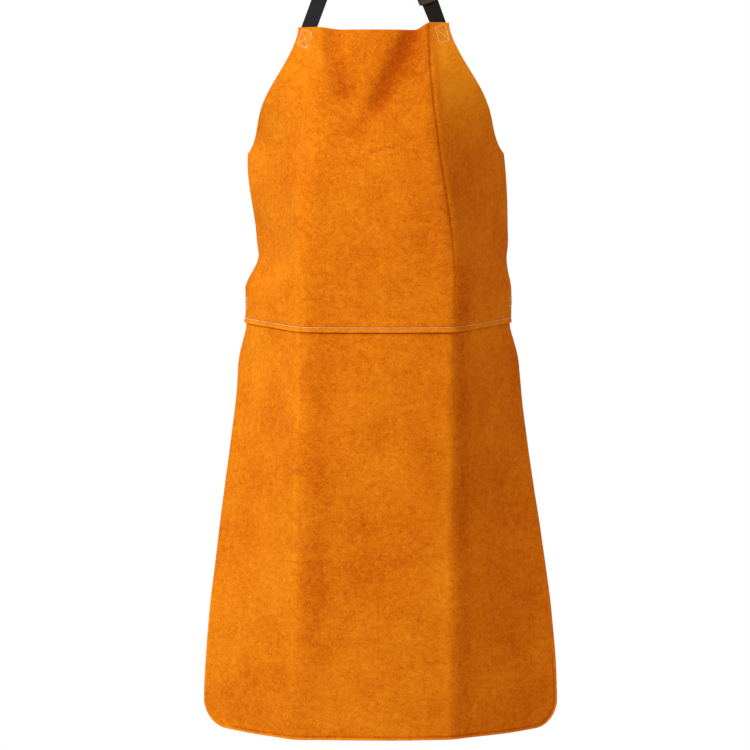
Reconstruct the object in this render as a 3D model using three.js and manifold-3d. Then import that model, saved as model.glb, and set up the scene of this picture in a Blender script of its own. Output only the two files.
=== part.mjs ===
// A welder's apron of split leather, hanging as it is worn: a bib lapped over a skirt, a neck strap and
// a waist strap of webbing, each closed by a side-release buckle. Millimetres, +Z up, the front faces -Y.
// The leather is laid out flat by two measures: "across", along the leather from its middle line (negative
// to the left), and "drop", down from the bib's top edge. "Lift" is the height off the skirt's inner face.
// The whole is moved at the end so that the origin is where the neck strap rests on the wearer's nape.

import * as THREE from "three";
import { mergeVertices } from "three/addons/utils/BufferGeometryUtils.js";
import Module from "manifold-3d";

const wasm = await Module();
wasm.setup();

// ---- Leather: flat sizes
const APRON_LENGTH = 1070;
const LEATHER_WIDTH = 610;
const BIB_TOP_WIDTH = 226;
const BIB_HEIGHT = 446;
const ARMHOLE_DROP = 185;
const ARMHOLE_BEND = 1.65;
const HEM_CORNER_RADIUS = 42;
const LEATHER_THICKNESS = 1.8;
const SEAM_LAP = 16;

// ---- How the leather hangs
const CREASE_INSIDE_STRAP = 4.5;
const CREASE_RIGHT = 112;
const CREASE_LEFT_WAIST = 118;
const CREASE_LEFT_HEM = 128;
const CREASE_SPREAD_TOP = 7;
const CREASE_SPREAD = 22;
const TURN_TOP = 24;
const TURN_ARMHOLE = 61.5;
const TURN_RIBS_LEFT = 68;
const TURN_RIBS_RIGHT = 63;
const RIBS_ABOVE_WAIST = 57;
const TURN_WAIST = 58;
const TURN_HEM_LEFT = 34;
const TURN_HEM_RIGHT = 30;
const HEM_SIDE_SAG = 6;
const CORNER_RISE_LEFT = 4;
const CORNER_RISE_RIGHT = 11;
const FRONT_BULGE = 7;
const FLAT_CORNER_DROP = 35;
const CHEST_SLOPE = 0.2;
const CHEST_SLOPE_DROP = 220;
const BELLY_FORWARD = 10;
const WAIST_SWAY = 9;
const EDGE_CURL = 38;
const EDGE_CURL_REACH = 43;
const EDGE_CURL_BEYOND_STRAP = 7.5;
const EDGE_CURL_FADE = 80;
const WALK_STEP = 4;

// ---- Webbing
const WEBBING_WIDTH = 25;
const WEBBING_THICKNESS = 1.5;
const STRAP_INSET = 16;
const STRAP_LEAN = 18;
const SEWN_LENGTH = 28;
const SEWN_SPARE = 8;
const SEWN_EXIT = 4;
const FOLD_RADIUS = 1.6;
const THREADED_RADIUS = 1.4;
const BUCKLE_ABOVE_BIB = 32;
const SHOULDER_REACH = 145;
const SHOULDER_PLACE = new THREE.Vector3(75, 122, 154);
const SHOULDER_SLOPE = new THREE.Vector3(0, 1, -0.59).normalize();
const SHOULDER_LEAD = 90;
const SHOULDER_RUN_OUT = 60;
const FACE_CLIMBING = new THREE.Vector3(-0.5, -1.2, 2);
const FACE_DESCENDING = new THREE.Vector3(1.5, -0.3, -0.2);
const LEFT_STRAIGHT = 50;
const STRAIGHT_LEAD = 3;
const NAPE = new THREE.Vector3(0, 167, 109);
const NAPE_FLAT = 30;
const NAPE_PULL = 22;
const WAIST_STRAP_ABOVE_SKIRT = 2.5;
const BACK_DEPTH = 85;
const SIDE_PULL = 60;
const BACK_PULL = 95;
const BARTACK_BACK = 30;
const BARTACK_LENGTH = 13;
const BARTACK_INSET = 3;
const LOOP_PARTS_BACK = 10;
const LOOP_CLOSES_BACK = 12;
const LOOP_OPENS_BACK = 2;
const LOOP_JOIN = 4;

// ---- Side-release buckle, in its own frame: y along the strap from the socket's end, z outward
const BUCKLE_CHEEK = 3.3;
const BUCKLE_HEIGHT = 10;
const BUCKLE_CORNER = 3.5;
const SOCKET_LENGTH = 31;
const SOCKET_SHELL = 2;
const WEB_BAR_START = 4;
const WEB_BAR_LENGTH = 3;
const WEB_BAR_BOTTOM = -2.2;
const WEB_BAR_TOP = 0.6;
const WEB_SLOT = 3.5;
const SLOT_SPARE = 0.7;
const CAVITY_DEPTH = 18.5;
const CAVITY_WALL = 3.5;
const WINDOW_START = 6.5;
const WINDOW_LENGTH = 9;
const WINDOW_LIP = 0.4;
const TONGUE_LENGTH = 17.5;
const TONGUE_HALF_HEIGHT = 3.5;
const LADDER_BLOCK = 3;
const LADDER_BAR = 3;
const LADDER_BAR_BOTTOM = -1.2;
const LADDER_BAR_TOP = 1.8;
const END_BAR_BOTTOM = -0.5;
const GUIDE_HALF = 2.2;
const GUIDE_LENGTH = 16;
const PRONG_INSIDE_WALL = 3;
const PRONG_HALF = 1.8;
const PRONG_LENGTH = 17;
const PRONG_SHOULDER = 5.4;
const PRONG_SHOULDER_FLAT = 3;
const PRONG_TIP = 2;
const PRONG_TIP_FLARE = 1.2;
const PRONG_TAPER = 0.3;
const CUT_THROUGH = 1;
const RUN_END = 38;
const TAIL_END = 36;

// ---- Thread
const THREAD_WIDTH = 0.9;
const THREAD_THICKNESS = 0.7;
const THREAD_CROSSING = 0.1;
const SEAM_STITCH_UP = 7;
const SEAM_STITCH_INSET = 4;
const BOX_STITCH_MARGIN = 4;
const BOX_STITCH_HEIGHT = 24;
const BOX_STITCH_DROP = 17;
const WAIST_STITCH_INSET = 17;

// ---- Clearances
const GAP = 0.3;
const SEWN_GAP = 0.5;

// ---- Values that follow from those above
const HALF_WIDTH = LEATHER_WIDTH / 2;
const SKIRT_TOP = BIB_HEIGHT - SEAM_LAP;
const WAIST_STRAP_DROP = SKIRT_TOP - WAIST_STRAP_ABOVE_SKIRT - WEBBING_WIDTH / 2;
const EDGE_CURL_CORE = WEBBING_WIDTH / 2 + EDGE_CURL_BEYOND_STRAP;
const RIBS_DROP = WAIST_STRAP_DROP - EDGE_CURL_CORE - RIBS_ABOVE_WAIST;
const STRAP_ACROSS = BIB_TOP_WIDTH / 2 - STRAP_INSET;
const CREASE_TOP = STRAP_ACROSS - WEBBING_WIDTH / 2 - CREASE_INSIDE_STRAP;
const BOX_STITCH_WIDTH = WEBBING_WIDTH - 2 * BOX_STITCH_MARGIN;
const BIB_INNER = LEATHER_THICKNESS + GAP;
const BIB_OUTER = BIB_INNER + LEATHER_THICKNESS;
const SEWN_LAYER = BIB_INNER - SEWN_GAP - WEBBING_THICKNESS / 2;
const SECOND_LAYER = SEWN_LAYER - WEBBING_THICKNESS - GAP;
const BAR_TURN = WEBBING_THICKNESS / 2 + GAP;
const TAIL_LAYER = END_BAR_BOTTOM - BAR_TURN;
const LOAD_LAYER = TAIL_LAYER - WEBBING_THICKNESS - GAP;
const STRAP_SLOT_HALF = WEBBING_WIDTH / 2 + SLOT_SPARE;
const HALF_BUCKLE = STRAP_SLOT_HALF + BUCKLE_CHEEK;
const HALF_HEIGHT = BUCKLE_HEIGHT / 2;
const CAVITY_HALF = HALF_BUCKLE - CAVITY_WALL;
const PRONG_ROOT = CAVITY_HALF - PRONG_INSIDE_WALL;
const MOUTH = SOCKET_LENGTH;
const DEGREE = Math.PI / 180;

const smooth = (t) => {
  const clamped = Math.min(1, Math.max(0, t));
  return clamped * clamped * (3 - 2 * clamped);
};
const mix = (a, b, t) => a + (b - a) * t;

// ---- Materials
const suede = () => new THREE.MeshStandardMaterial({ color: 0xd97a14, roughness: 0.95, metalness: 0 });
const webbing = () => new THREE.MeshStandardMaterial({ color: 0x1b1a1c, roughness: 0.85, metalness: 0 });
const plastic = () => new THREE.MeshStandardMaterial({ color: 0x0f0f11, roughness: 0.35, metalness: 0 });
const thread = () => new THREE.MeshStandardMaterial({ color: 0xf2dcae, roughness: 0.7, metalness: 0 });

// ---- The leather's hanging surface

// Flat half width of the leather at a drop, for the bib and for the skirt.
function bibHalfWidth(drop) {
  const flare = Math.min(1, drop / ARMHOLE_DROP) ** ARMHOLE_BEND;
  return mix(BIB_TOP_WIDTH / 2, HALF_WIDTH, flare);
}

function skirtHalfWidth(drop) {
  const intoCorner = Math.max(0, drop - (APRON_LENGTH - HEM_CORNER_RADIUS));
  return HALF_WIDTH - HEM_CORNER_RADIUS + Math.sqrt(HEM_CORNER_RADIUS ** 2 - intoCorner ** 2);
}

// Shares of the way from the bib's top to the waist strap, and from the waist seam to the hem.
const toWaist = (drop) => smooth(drop / (WAIST_STRAP_DROP - EDGE_CURL_CORE));
const toHem = (drop) => smooth((drop - BIB_HEIGHT) / (APRON_LENGTH - BIB_HEIGHT));

// Distance of the upright crease from the middle line, where the leather turns back round the body.
function creaseAcross(side, drop) {
  if (side > 0) return mix(CREASE_TOP, CREASE_RIGHT, toWaist(drop));
  return mix(CREASE_TOP, mix(CREASE_LEFT_WAIST, CREASE_LEFT_HEM, toHem(drop)), toWaist(drop));
}

// How far the side panel is turned back from the front, in degrees.
function sideTurn(side, drop) {
  const belowCorner = (drop - FLAT_CORNER_DROP) / (ARMHOLE_DROP - FLAT_CORNER_DROP);
  if (drop < ARMHOLE_DROP) return mix(TURN_TOP, TURN_ARMHOLE, smooth(belowCorner));
  const ribs = side > 0 ? TURN_RIBS_RIGHT : TURN_RIBS_LEFT;
  const hem = side > 0 ? TURN_HEM_RIGHT : TURN_HEM_LEFT;
  const belowArmhole = (drop - ARMHOLE_DROP) / (RIBS_DROP - ARMHOLE_DROP);
  const belowRibs = (drop - RIBS_DROP) / (WAIST_STRAP_DROP - EDGE_CURL_CORE - RIBS_DROP);
  const waist = mix(mix(TURN_ARMHOLE, ribs, smooth(belowArmhole)), TURN_WAIST, smooth(belowRibs));
  return mix(waist, hem, toHem(drop));
}

// How far the leather is pulled up at the bib's corners by the neck strap, or sags at the hem's sides.
function rise(side, reach, drop) {
  const atCorner = smooth((reach - CREASE_TOP / 4) / (CREASE_TOP / 2));
  const corner = (side > 0 ? CORNER_RISE_RIGHT : CORNER_RISE_LEFT) * atCorner;
  const sag = HEM_SIDE_SAG * smooth((reach - CREASE_TOP) / (HALF_WIDTH / 2)) * toHem(drop);
  return corner * (1 - smooth((drop - FLAT_CORNER_DROP) / ARMHOLE_DROP)) - sag;
}

// Direction of the leather in plan at one place, in radians from straight across.
function heading(side, reach, drop) {
  const crease = creaseAcross(side, drop);
  const spread = mix(CREASE_SPREAD_TOP, CREASE_SPREAD, smooth(drop / ARMHOLE_DROP));
  const bulge = FRONT_BULGE * Math.min(1, reach / crease);
  const turned = smooth((reach - crease + spread) / (2 * spread));
  const offStrap = Math.abs(drop - WAIST_STRAP_DROP) - EDGE_CURL_CORE;
  const nearStrap = 1 - smooth(offStrap / EDGE_CURL_FADE);
  const curl = EDGE_CURL * nearStrap * smooth((reach - HALF_WIDTH + EDGE_CURL_REACH) / EDGE_CURL_REACH);
  return DEGREE * (bulge + (sideTurn(side, drop) - FRONT_BULGE) * turned + curl);
}

// The bib leans back over the chest: its slope and its depth at a drop. The top corners are left flat.
function chestLean(drop) {
  const share = Math.min(1, Math.max(0, (drop - FLAT_CORNER_DROP) / CHEST_SLOPE_DROP));
  const run = Math.min(drop, FLAT_CORNER_DROP) + CHEST_SLOPE_DROP * (share - share ** 2 / 2);
  return { slope: CHEST_SLOPE * (1 - share), depth: -CHEST_SLOPE * run };
}

// Place, outward normal and direction across of the leather, from one walk along it in plan.
function panelFrame(across, drop, lift) {
  const side = across < 0 ? -1 : 1;
  const reach = Math.abs(across);
  const steps = Math.max(1, Math.ceil(reach / WALK_STEP));
  const step = reach / steps;
  let x = 0;
  let y = 0;
  for (let i = 0; i < steps; i++) {
    const angle = heading(side, (i + 0.5) * step, drop);
    x += step * Math.cos(angle);
    y += step * Math.sin(angle);
  }
  const end = heading(side, reach, drop);
  const { slope, depth } = chestLean(drop);
  const normal = new THREE.Vector3(side * Math.sin(end), -Math.cos(end), slope * Math.cos(end)).normalize();
  const middle = new THREE.Vector3(WAIST_SWAY * toWaist(drop), depth - BELLY_FORWARD * toHem(drop), -drop);
  const point = middle.add(new THREE.Vector3(side * x, y, rise(side, reach, drop)));
  const along = new THREE.Vector3(Math.cos(end), side * Math.sin(end), 0);
  return { point: point.addScaledVector(normal, lift), normal, along };
}

// ---- Building blocks

// A closed skin from two facing grids of points. Rows cross columns towards the front grid's outside.
function closedGrid(front, back) {
  const rows = front.length;
  const columns = front[0].length;
  const positions = [...front.flat(), ...back.flat()].flatMap((p) => [p.x, p.y, p.z]);
  const f = (i, j) => i * columns + j;
  const b = (i, j) => (rows + i) * columns + j;
  const indices = [];
  const quad = (p, q, r, s) => indices.push(p, q, r, p, r, s);
  for (let i = 0; i < rows - 1; i++) {
    for (let j = 0; j < columns - 1; j++) {
      quad(f(i, j), f(i + 1, j), f(i + 1, j + 1), f(i, j + 1));
      quad(b(i, j), b(i, j + 1), b(i + 1, j + 1), b(i + 1, j));
    }
    quad(f(i, 0), b(i, 0), b(i + 1, 0), f(i + 1, 0));
    quad(f(i, columns - 1), f(i + 1, columns - 1), b(i + 1, columns - 1), b(i, columns - 1));
  }
  for (let j = 0; j < columns - 1; j++) {
    quad(f(0, j), f(0, j + 1), b(0, j + 1), b(0, j));
    quad(f(rows - 1, j), b(rows - 1, j), b(rows - 1, j + 1), f(rows - 1, j + 1));
  }
  const geometry = new THREE.BufferGeometry();
  geometry.setAttribute("position", new THREE.Float32BufferAttribute(positions, 3));
  geometry.setIndex(indices);
  return geometry;
}

// A flat band of even width along stations, each with a point and an outward normal.
function ribbon(stations, width, thickness) {
  const edges = (lift) =>
    stations.map(({ point, normal }, i) => {
      const before = stations[Math.max(0, i - 1)].point;
      const after = stations[Math.min(stations.length - 1, i + 1)].point;
      const along = after.clone().sub(before).normalize();
      const across = normal.clone().cross(along).normalize();
      const face = along.clone().cross(across);
      return [-width / 2, width / 2].map((offset) =>
        point.clone().addScaledVector(across, offset).addScaledVector(face, lift),
      );
    });
  return closedGrid(edges(thickness / 2), edges(-thickness / 2));
}

// Corners of a path with each inner corner rounded off, in the plane.
function roundedPath(corners, radius) {
  const path = [corners[0]];
  for (let i = 1; i < corners.length - 1; i++) {
    const [before, corner, after] = [corners[i - 1], corners[i], corners[i + 1]];
    const trim = (to) => {
      const away = to.clone().sub(corner);
      return corner.clone().addScaledVector(away, Math.min(0.5, radius / away.length()));
    };
    path.push(...new THREE.QuadraticBezierCurve(trim(before), corner, trim(after)).getPoints(4));
  }
  path.push(corners[corners.length - 1]);
  return path;
}

// A band standing on edge: the plan of a path thickened to both sides, made as wide as the webbing.
function standingBand(path, thickness, width) {
  const offset = (distance) =>
    path.map((point, i) => {
      const before = path[Math.max(0, i - 1)];
      const after = path[Math.min(path.length - 1, i + 1)];
      const into = point.clone().sub(before).normalize();
      const out = after.clone().sub(point).normalize();
      const tangent = into.clone().add(out).normalize();
      const miter = i > 0 && i < path.length - 1 ? 1 / tangent.dot(out) : 1;
      return new THREE.Vector2(-tangent.y, tangent.x).multiplyScalar(distance * miter).add(point);
    });
  const outline = [...offset(-thickness / 2), ...offset(thickness / 2).reverse()];
  const geometry = new THREE.ExtrudeGeometry(new THREE.Shape(outline), { depth: width, bevelEnabled: false });
  return geometry.translate(0, 0, -width / 2);
}

// A band whose plan is drawn in the buckle's y and z, as wide as the webbing along x.
function buckleBand(corners, radius) {
  const path = roundedPath(corners.map(([y, z]) => new THREE.Vector2(y, z)), radius);
  const standing = standingBand(path, WEBBING_THICKNESS, WEBBING_WIDTH);
  const turn = new THREE.Matrix4().makeBasis(
    new THREE.Vector3(0, 1, 0),
    new THREE.Vector3(0, 0, 1),
    new THREE.Vector3(1, 0, 0),
  );
  return standing.applyMatrix4(turn);
}

function block([x0, x1], [y0, y1], [z0, z1]) {
  const box = new THREE.BoxGeometry(x1 - x0, y1 - y0, z1 - z0);
  return box.translate((x0 + x1) / 2, (y0 + y1) / 2, (z0 + z1) / 2);
}

// A plate with round corners in plan, lying between two heights.
function roundedPlate([x0, x1], [y0, y1], [z0, z1], radius) {
  const shape = new THREE.Shape();
  shape.absarc(x1 - radius, y1 - radius, radius, 0, Math.PI / 2);
  shape.absarc(x0 + radius, y1 - radius, radius, Math.PI / 2, Math.PI);
  shape.absarc(x0 + radius, y0 + radius, radius, Math.PI, 1.5 * Math.PI);
  shape.absarc(x1 - radius, y0 + radius, radius, 1.5 * Math.PI, 2 * Math.PI);
  const plate = new THREE.ExtrudeGeometry(shape, { depth: z1 - z0, bevelEnabled: false, curveSegments: 4 });
  return plate.translate(0, 0, z0);
}

function solidOf(geometry) {
  const loose = geometry.index ? geometry.toNonIndexed() : geometry;
  const plain = new THREE.BufferGeometry();
  plain.setAttribute("position", loose.getAttribute("position"));
  const merged = mergeVertices(plain, 1e-4);
  const vertProperties = merged.getAttribute("position").array;
  return new wasm.Manifold(new wasm.Mesh({ numProp: 3, vertProperties, triVerts: merged.index.array }));
}

function geometryOf(solid) {
  const mesh = solid.getMesh();
  const geometry = new THREE.BufferGeometry();
  geometry.setAttribute("position", new THREE.BufferAttribute(mesh.vertProperties, 3));
  geometry.setIndex(new THREE.BufferAttribute(mesh.triVerts, 1));
  return geometry;
}

const joined = (...parts) => geometryOf(parts.map(solidOf).reduce((a, b) => a.add(b)));
const cut = (body, ...tools) => geometryOf(tools.map(solidOf).reduce((a, b) => a.subtract(b), solidOf(body)));

function named(name, geometry, material) {
  const mesh = new THREE.Mesh(geometry, material);
  mesh.geometry.computeVertexNormals();
  mesh.name = name;
  return mesh;
}

// ---- Leather panels

// Places from start to end, in runs given as [end, number of steps].
function spaced(start, ...runs) {
  const places = [start];
  let from = start;
  for (const [end, steps] of runs) {
    for (let i = 1; i <= steps; i++) places.push(mix(from, end, i / steps));
    from = end;
  }
  return places;
}

// Columns of the leather's grid as shares of its half width, closer at the creases and the edges.
const HALF_COLUMNS = spaced(0, [0.27, 2], [0.47, 5], [0.85, 3], [1, 4]);
const COLUMNS = [...HALF_COLUMNS.slice(1).map((share) => -share).reverse(), ...HALF_COLUMNS];

function leatherPanel(drops, halfWidth, inner, outer) {
  const grid = (lift) =>
    drops.map((drop) => COLUMNS.map((share) => panelFrame(share * halfWidth(drop), drop, lift).point));
  return closedGrid(grid(outer), grid(inner));
}

function bibPanel() {
  const curlEnds = [WAIST_STRAP_DROP - EDGE_CURL_CORE - EDGE_CURL_FADE, WAIST_STRAP_DROP - EDGE_CURL_CORE];
  const belowArmhole = [[curlEnds[0], 2], [curlEnds[1], 3], [SKIRT_TOP, 1], [BIB_HEIGHT, 1]];
  const drops = spaced(0, [ARMHOLE_DROP, 7], ...belowArmhole);
  return named("bib_panel", leatherPanel(drops, bibHalfWidth, BIB_INNER, BIB_OUTER), suede());
}

function skirtPanel() {
  const corner = APRON_LENGTH - HEM_CORNER_RADIUS;
  const curlEnd = WAIST_STRAP_DROP + EDGE_CURL_CORE + EDGE_CURL_FADE;
  const drops = spaced(SKIRT_TOP, [BIB_HEIGHT, 1], [curlEnd, 2], [corner, 5]);
  const roundings = [0.25, 0.5, 0.7, 0.85, 0.95, 1];
  drops.push(...roundings.map((share) => corner + share * HEM_CORNER_RADIUS));
  return named("skirt_panel", leatherPanel(drops, skirtHalfWidth, 0, LEATHER_THICKNESS), suede());
}

// ---- Thread

const threadLift = (gap) => BIB_OUTER + gap + THREAD_THICKNESS / 2;

function waistSeamStitching() {
  const drop = BIB_HEIGHT - SEAM_STITCH_UP;
  const shares = COLUMNS.slice(1, -1);
  const end = (HALF_WIDTH - SEAM_STITCH_INSET) / HALF_WIDTH;
  const stations = [-end, ...shares, end].map((share) =>
    panelFrame(share * HALF_WIDTH, drop, threadLift(GAP)),
  );
  return named("waist_seam_stitching", ribbon(stations, THREAD_WIDTH, THREAD_THICKNESS), thread());
}

// One straight run of thread between two places on the bib.
function threadRun(from, to, lift, steps) {
  const stations = [];
  for (let i = 0; i <= steps; i++) {
    const place = from.clone().lerp(to, i / steps);
    stations.push(panelFrame(place.x, place.y, lift));
  }
  return ribbon(stations, THREAD_WIDTH, THREAD_THICKNESS);
}

// A box of stitches with its diagonals, turned with the strap that it holds. Each run of thread crosses
// the ones before it a little higher.
function boxStitching(name, centre, lean, width, height, diagonals, steps) {
  const corner = (x, y) =>
    new THREE.Vector2((x * width) / 2, (y * height) / 2).rotateAround(new THREE.Vector2(), lean).add(centre);
  const corners = [corner(-1, -1), corner(1, -1), corner(1, 1), corner(-1, 1)];
  const overrun = THREAD_WIDTH / 2;
  const reachPast = (a, b) => b.clone().addScaledVector(b.clone().sub(a).normalize(), overrun);
  const pairs = [[0, 1], [1, 2], [2, 3], [3, 0], ...diagonals];
  const runs = pairs.map(([i, j], order) => {
    const lift = threadLift(SEWN_GAP) + order * THREAD_CROSSING;
    return threadRun(reachPast(corners[j], corners[i]), reachPast(corners[i], corners[j]), lift, steps);
  });
  return named(name, joined(...runs), thread());
}

function boxStitchings() {
  const bothDiagonals = [[0, 2], [1, 3]];
  const neck = (side, name, diagonals) => {
    const inward = Math.tan(STRAP_LEAN * DEGREE) * BOX_STITCH_DROP;
    const centre = new THREE.Vector2(side * (STRAP_ACROSS + inward), BOX_STITCH_DROP);
    const lean = -side * STRAP_LEAN * DEGREE;
    return boxStitching(name, centre, lean, BOX_STITCH_WIDTH, BOX_STITCH_HEIGHT, diagonals, 1);
  };
  const waist = (side, name) => {
    const centre = new THREE.Vector2(side * (HALF_WIDTH - WAIST_STITCH_INSET), WAIST_STRAP_DROP);
    return boxStitching(name, centre, 0, BOX_STITCH_HEIGHT, BOX_STITCH_WIDTH, bothDiagonals, 3);
  };
  return [
    neck(-1, "bib_left_box_stitching", bothDiagonals),
    neck(1, "bib_right_box_stitching", [[0, 2]]),
    waist(-1, "waist_left_box_stitching"),
    waist(1, "waist_right_box_stitching"),
  ];
}

// ---- Side-release buckle

// The socket: a flat shell open at its mouth, with a side window for each prong and a bar for the webbing
// that the front of the shell covers.
function buckleSocket(name) {
  const barEnd = WEB_BAR_START + WEB_BAR_LENGTH;
  const frontPlate = HALF_HEIGHT - SOCKET_SHELL;
  const strapWidth = [-STRAP_SLOT_HALF, STRAP_SLOT_HALF];
  const windowSpan = [MOUTH - WINDOW_START - WINDOW_LENGTH, MOUTH - WINDOW_START];
  const cavityDepth = [MOUTH - CAVITY_DEPTH, MOUTH + CUT_THROUGH];
  const windowTop = frontPlate - WINDOW_LIP;
  const outside = HALF_BUCKLE + CUT_THROUGH;
  const under = -HALF_HEIGHT - CUT_THROUGH;
  const shell = cut(
    roundedPlate([-HALF_BUCKLE, HALF_BUCKLE], [0, MOUTH], [-HALF_HEIGHT, HALF_HEIGHT], BUCKLE_CORNER),
    block([-CAVITY_HALF, CAVITY_HALF], cavityDepth, [-frontPlate, frontPlate]),
    block([-outside, outside], windowSpan, [-windowTop, windowTop]),
    block(strapWidth, [-CUT_THROUGH, WEB_BAR_START], [under, frontPlate]),
    block(strapWidth, [WEB_BAR_START - CUT_THROUGH, barEnd], [under, WEB_BAR_BOTTOM]),
    block(strapWidth, [WEB_BAR_START - CUT_THROUGH, barEnd], [WEB_BAR_TOP, frontPlate]),
    block(strapWidth, [barEnd, barEnd + WEB_SLOT], [under, frontPlate]),
  );
  return named(name, shell, plastic());
}

// The tongue: two slots and two bars that grip the adjusting strap, and a guide that enters the socket.
function buckleTongue(name) {
  const start = MOUTH + GAP;
  const slotA = MOUTH + LADDER_BLOCK;
  const slotB = slotA + WEB_SLOT + LADDER_BAR;
  const endBar = slotB + WEB_SLOT;
  const strapWidth = [-STRAP_SLOT_HALF, STRAP_SLOT_HALF];
  const under = -TONGUE_HALF_HEIGHT - CUT_THROUGH;
  const over = TONGUE_HALF_HEIGHT + CUT_THROUGH;
  const end = MOUTH + TONGUE_LENGTH;
  const height = [-TONGUE_HALF_HEIGHT, TONGUE_HALF_HEIGHT];
  const frame = cut(
    roundedPlate([-HALF_BUCKLE, HALF_BUCKLE], [start, end], height, BUCKLE_CORNER),
    block(strapWidth, [slotA, slotA + WEB_SLOT], [under, over]),
    block(strapWidth, [slotB, endBar], [under, over]),
    block(strapWidth, [slotA, slotB], [under, LADDER_BAR_BOTTOM]),
    block(strapWidth, [slotA, slotB], [LADDER_BAR_TOP, over]),
    block(strapWidth, [endBar - CUT_THROUGH, end + CUT_THROUGH], [under, END_BAR_BOTTOM]),
  );
  const guideEnd = slotA - LADDER_BLOCK / 3;
  const guide = block([-GUIDE_HALF, GUIDE_HALF], [MOUTH - GUIDE_LENGTH, guideEnd], [-PRONG_HALF, PRONG_HALF]);
  return named(name, joined(frame, guide), plastic());
}

// A springing prong: an arm from the tongue with a shoulder that stands out through the socket's window.
function buckleProng(name, side) {
  const shoulderTop = MOUTH - WINDOW_START - GAP;
  const tip = MOUTH - PRONG_LENGTH;
  const outline = [
    [-PRONG_HALF, MOUTH],
    [-PRONG_HALF + PRONG_TAPER, tip + 0.75 * PRONG_TIP],
    [-PRONG_HALF + PRONG_TIP_FLARE, tip],
    [PRONG_HALF, tip],
    [PRONG_HALF + PRONG_TIP_FLARE, tip + PRONG_TIP],
    [PRONG_SHOULDER, shoulderTop - PRONG_SHOULDER_FLAT],
    [PRONG_SHOULDER, shoulderTop],
    [PRONG_HALF, shoulderTop],
    [PRONG_HALF, MOUTH],
  ].map(([x, y]) => new THREE.Vector2(side * (PRONG_ROOT + x), y));
  const shape = new THREE.Shape(outline);
  const prong = new THREE.ExtrudeGeometry(shape, { depth: 2 * PRONG_HALF, bevelEnabled: false });
  return named(name, prong.translate(0, 0, -PRONG_HALF), plastic());
}

// The stretch of webbing threaded through the tongue: in along the back, up through the first slot, over
// the middle bar, down through the second slot and out under the end bar as a loose tail.
function adjustingRun(name) {
  const middle = MOUTH + LADDER_BLOCK + WEB_SLOT + LADDER_BAR / 2;
  const legs = (LADDER_BAR + WEB_SLOT) / 2;
  const over = LADDER_BAR_TOP + BAR_TURN;
  const corners = [
    [MOUTH + RUN_END, LOAD_LAYER],
    [middle - legs, LOAD_LAYER],
    [middle - legs, over],
    [middle + legs, over],
    [middle + legs, TAIL_LAYER],
    [MOUTH + TAIL_END, TAIL_LAYER],
  ];
  return named(name, buckleBand(corners, THREADED_RADIUS), webbing());
}

function buckle(prefix) {
  const group = new THREE.Group();
  group.add(
    buckleSocket(prefix + "_buckle_socket"),
    buckleTongue(prefix + "_buckle_tongue"),
    buckleProng(prefix + "_buckle_left_prong", -1),
    buckleProng(prefix + "_buckle_right_prong", 1),
    adjustingRun(prefix + "_strap_adjusting_run"),
  );
  return group;
}

// ---- Neck strap

// Where a strap leaves the bib's top edge: its own frame, with y up the strap and z outward.
function strapFrame(side) {
  const { point, normal, along } = panelFrame(side * STRAP_ACROSS, 0, 0);
  const up = normal.clone().cross(along);
  const lean = STRAP_LEAN * DEGREE;
  const leaning = up.multiplyScalar(Math.cos(lean)).addScaledVector(along, -side * Math.sin(lean));
  const strapUp = leaning.normalize();
  const across = strapUp.clone().cross(normal);
  return new THREE.Matrix4().makeBasis(across, strapUp, normal).setPosition(point);
}

// The line from a bib corner over the shoulder to the nape, as stations for a ribbon.
function overShoulder(side, startAt, layer, steps) {
  const frame = strapFrame(side);
  const at = (y, z) => new THREE.Vector3(0, y, z).applyMatrix4(frame);
  const onSide = ({ x, y, z }) => new THREE.Vector3(side * x, y, z);
  const curveStart = at(startAt + STRAIGHT_LEAD, layer);
  const top = onSide(SHOULDER_PLACE);
  const beforeTop = top.clone().addScaledVector(SHOULDER_SLOPE, -SHOULDER_LEAD);
  const afterTop = top.clone().addScaledVector(SHOULDER_SLOPE, SHOULDER_RUN_OUT);
  const nape = NAPE.clone().setX((side * NAPE_FLAT) / 2);
  const nearNape = nape.clone().setX(nape.x + side * NAPE_PULL);
  const climb = new THREE.CubicBezierCurve3(curveStart, at(SHOULDER_REACH, layer), beforeTop, top);
  const descent = new THREE.CubicBezierCurve3(top, afterTop, nearNape, nape);
  const onChest = new THREE.Vector3(0, 0, 1).transformDirection(frame);
  const onNape = new THREE.Vector3(0, 1, 0);
  const facing = new THREE.CubicBezierCurve3(onChest, onSide(FACE_CLIMBING), onSide(FACE_DESCENDING), onNape);
  const stations = [{ point: at(startAt, layer), normal: onChest }];
  for (let i = 0; i <= steps; i++) {
    const t = i / steps;
    const point = t < 0.5 ? climb.getPoint(2 * t) : descent.getPoint(2 * t - 1);
    stations.push({ point, normal: facing.getPoint(t).normalize() });
  }
  return stations;
}

function neckStrap() {
  const frame = strapFrame(-1);
  const normal = new THREE.Vector3(0, 0, 1).transformDirection(frame);
  const sewn = [-SEWN_LENGTH, 0, LEFT_STRAIGHT / 2].map((y) => ({
    point: new THREE.Vector3(0, y, SEWN_LAYER).applyMatrix4(frame),
    normal,
  }));
  const left = overShoulder(-1, LEFT_STRAIGHT, SEWN_LAYER, 20);
  const runEnd = BUCKLE_ABOVE_BIB + MOUTH + RUN_END + GAP;
  const right = overShoulder(1, runEnd, LOAD_LAYER, 20).reverse();
  const stations = [...sewn, ...left, ...right];
  return named("neck_strap", ribbon(stations, WEBBING_WIDTH, WEBBING_THICKNESS), webbing());
}

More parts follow.
